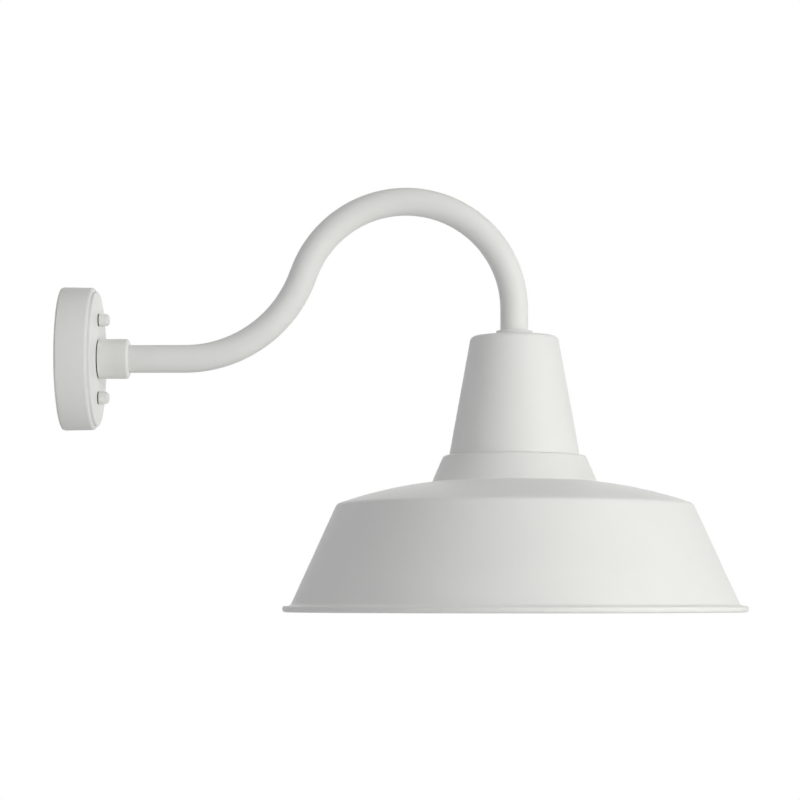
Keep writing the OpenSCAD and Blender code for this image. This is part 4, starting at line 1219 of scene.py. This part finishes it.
def make_glass():
    glass = turned("bulb_glass", glass_section(), SHADE_AXIS, UP, closed=False)
    give_wall(glass, GLASS_T)
    finish_piece(glass, "lamp", "opal_glass", "lamp_glass", smooth=GLASS_SMOOTH_UNDER)


make_glass()

# %% [markdown]
# ## The lamp's cap
# The cap is a sleeve with the coarse thread wound round it, so that it is the two pieces that it
# looks like. It could be one rolled skin, as the shell is, but its plain collar and its drawn in
# end are turned shapes, and a thread laid over them keeps each simple.

# %% Lamp cap
CAP_COLLAR_H = 3 * MM
CAP_END_H = 2.2 * MM
CAP_CORE_R = 12 * MM
CAP_END_R = 11.6 * MM
CAP_WAVE_H = 0.8 * MM
CAP_WAVE_IN = 0.45 * MM
CAP_EDGE_R, CAP_COLLAR_EDGE_R = 0.5 * MM, 0.6 * MM


def make_cap():
    low, high = cap_low.z, cap_high.z
    collar = low + CAP_COLLAR_H
    section = [(low, 0), (low, CAP_R, CAP_EDGE_R), (collar, CAP_R, CAP_COLLAR_EDGE_R),
               (collar, CAP_CORE_R), (high - CAP_END_H, CAP_CORE_R, CAP_EDGE_R),
               (high, CAP_END_R), (high, 0)]
    cap = turned("cap_sleeve", rounded(section), SHADE_AXIS, UP, closed=False)
    start = SHADE_AXIS + UP * (collar - MM)
    length = high - CAP_END_H - start.z
    outline = wave(CAP_R - CAP_WAVE_IN, CAP_WAVE_H)
    winding = threaded("cap_thread", start, UP, length, outline, CAP_PITCH, sides=64)
    for piece in (cap, winding):
        finish_piece(piece, "lamp", "lamp_metal", "lamp_cap")


make_cap()

# %% [markdown]
# ## Insulator and contact
# Black glass fills the cap's end round the wire, and the wire is soldered over its tip. Both are
# turned: the glass slopes in to the solder, and the drop has the round top that molten tin takes.

# %% Lamp contact
INSULATOR_RIM_R = 11.4 * MM
INSULATOR_RIM_H = 0.6 * MM
INSULATOR_RIM_EDGE_R, INSULATOR_TOP_EDGE_R = 0.3 * MM, 0.4 * MM
DROP_TOP_SHARE = 0.72
DROP_EDGE_R = 0.9 * MM


def make_contact():
    low, high = insulator_low.z, insulator_high.z
    rim_z = low + INSULATOR_RIM_H
    section = [(low, 0), (low, INSULATOR_RIM_R), (rim_z, insulator_high.y, INSULATOR_RIM_EDGE_R),
               (high, tip_high.y, INSULATOR_TOP_EDGE_R), (high, 0)]
    insulator = turned("cap_insulator", rounded(section), SHADE_AXIS, UP, closed=False)
    finish_piece(insulator, "lamp", "black_glass", "lamp_insulator")
    low, high = tip_low.z, tip_high.z
    top_r = tip_high.y * DROP_TOP_SHARE
    section = [(low, 0), (low, tip_high.y), (high, top_r, DROP_EDGE_R), (high, 0)]
    tip = turned("solder_tip", rounded(section), SHADE_AXIS, UP, closed=False, sides=48)
    finish_piece(tip, "lamp", "lamp_metal", "lamp_contact")
    give_finish(tip, solder)


make_contact()

# %% [markdown]
# ## Studio
# The light comes from soft boxes to the right of the camera. Two of them stand near, so that the
# canopy, which is farther off, gets less. A fill stands on the left, one hangs overhead, one behind
# lights the far side, and the rest is an even glow. The left sides shade down to a middle grey and
# the right sides stay just under white. The boxes on the right are a little warmer than the glow,
# so the bright sides look cream and the dark ones neutral. A single sun would be simpler, but soft
# boxes of a real size and distance fall off over the object as the photograph's lamps do.
# The backdrop is white to the camera and to reflections only, so it adds no light. The floor lies
# far below the light, which would hang on a wall, shows its soft shadow and fades into the white.

# %% Studio
STUDIO_MIDDLE = Vector((0.3, 0, -0.05))
WARM = (0.99, 1.0, 0.96)
COOL = (1.0, 1.0, 1.035)
SOFTBOXES = (
    # name, degrees to the right of the camera, degrees up, distance, side, watts, colour
    ("near_right", 60, 8, 1.8, 1.2, 12.7, WARM),
    ("near_front", 40, 8, 1.8, 1.2, 4.0, WARM),
    ("low_right", 45, -15, 3.0, 1.2, 18.5, WARM),
    ("overhead", 45, 80, 2.6, 2.0, 13.8, WARM),
    ("fill_left", -45, 8, 3.0, 2.0, 18.2, COOL),
    ("behind", 180, 12, 3.0, 2.0, 24.0, COOL),
)
GLOW = 0.15
FLOOR_Z = -1.3
FLOOR_SIDE = 12
FLOOR_GLOW = 0.7
FADE_FROM, FADE_TO = 1.0, 5.0


def add_softboxes():
    for name, right, up, distance, side, watts, colour in SOFTBOXES:
        right, up = math.radians(right), math.radians(up)
        way = Vector((math.sin(right) * math.cos(up), -math.cos(right) * math.cos(up), math.sin(up)))
        turn = (-way).to_track_quat("-Z", "Y").to_euler()
        bpy.ops.object.light_add(type="AREA", location=STUDIO_MIDDLE + distance * way, rotation=turn)
        softbox = bpy.context.object
        softbox.name = name
        softbox.data.size = side
        softbox.data.energy = watts
        softbox.data.color = colour
        softbox.visible_camera = False


def seen_directly(tree):
    """1 for rays from the camera, in reflections and through glass, and 0 for light on the object."""
    ray = add(tree, "ShaderNodeLightPath").outputs
    seen = ray["Is Camera Ray"]
    for kind in ("Is Glossy Ray", "Is Transmission Ray"):
        seen = add(tree, "ShaderNodeMath", {0: seen, 1: ray[kind]}, operation="MAXIMUM").outputs[0]
    return seen


def set_backdrop():
    world = bpy.data.worlds.new("studio")
    bpy.context.scene.world = world
    world.use_nodes = True
    tree = world.node_tree
    tree.nodes.clear()
    glow = add(tree, "ShaderNodeBackground", {"Color": (*COOL, 1), "Strength": GLOW}).outputs[0]
    white = add(tree, "ShaderNodeBackground", {"Color": linear("#ffffff"), "Strength": 1.0}).outputs[0]
    mix = add(tree, "ShaderNodeMixShader", {0: seen_directly(tree), 1: glow, 2: white})
    add(tree, "ShaderNodeOutputWorld", {"Surface": mix.outputs[0]})


def add_floor():
    start_clean()
    bpy.ops.mesh.primitive_plane_add(size=FLOOR_SIDE, location=(0, 0, FLOOR_Z))
    floor = bpy.context.object
    floor.name = "floor"
    material = bpy.data.materials.new("white_paper")
    material.use_nodes = True
    tree = material.node_tree
    tree.nodes.clear()
    paper = add(tree, "ShaderNodeBsdfDiffuse", {"Color": linear("#f4f4f2")}).outputs[0]
    white = add(tree, "ShaderNodeEmission", {"Color": linear("#ffffff"), "Strength": 1.0}).outputs[0]
    place = add(tree, "ShaderNodeTexCoord").outputs["Object"]
    far = add(tree, "ShaderNodeVectorMath", {0: place}, operation="LENGTH").outputs["Value"]
    spread = {"Value": far, "From Min": FADE_FROM, "From Max": FADE_TO, "To Min": FLOOR_GLOW, "To Max": 1.0}
    fade = add(tree, "ShaderNodeMapRange", spread, interpolation_type="SMOOTHSTEP").outputs["Result"]
    share = add(tree, "ShaderNodeMath", {0: seen_directly(tree), 1: fade}, operation="MULTIPLY")
    mix = add(tree, "ShaderNodeMixShader", {0: share.outputs[0], 1: paper, 2: white})
    add(tree, "ShaderNodeOutputMaterial", {"Surface": mix.outputs[0]})
    floor.data.materials.append(material)


add_softboxes()
set_backdrop()
add_floor()
bpy.context.scene.view_settings.view_transform = "Standard"
print("studio has", len(SOFTBOXES), "soft boxes")
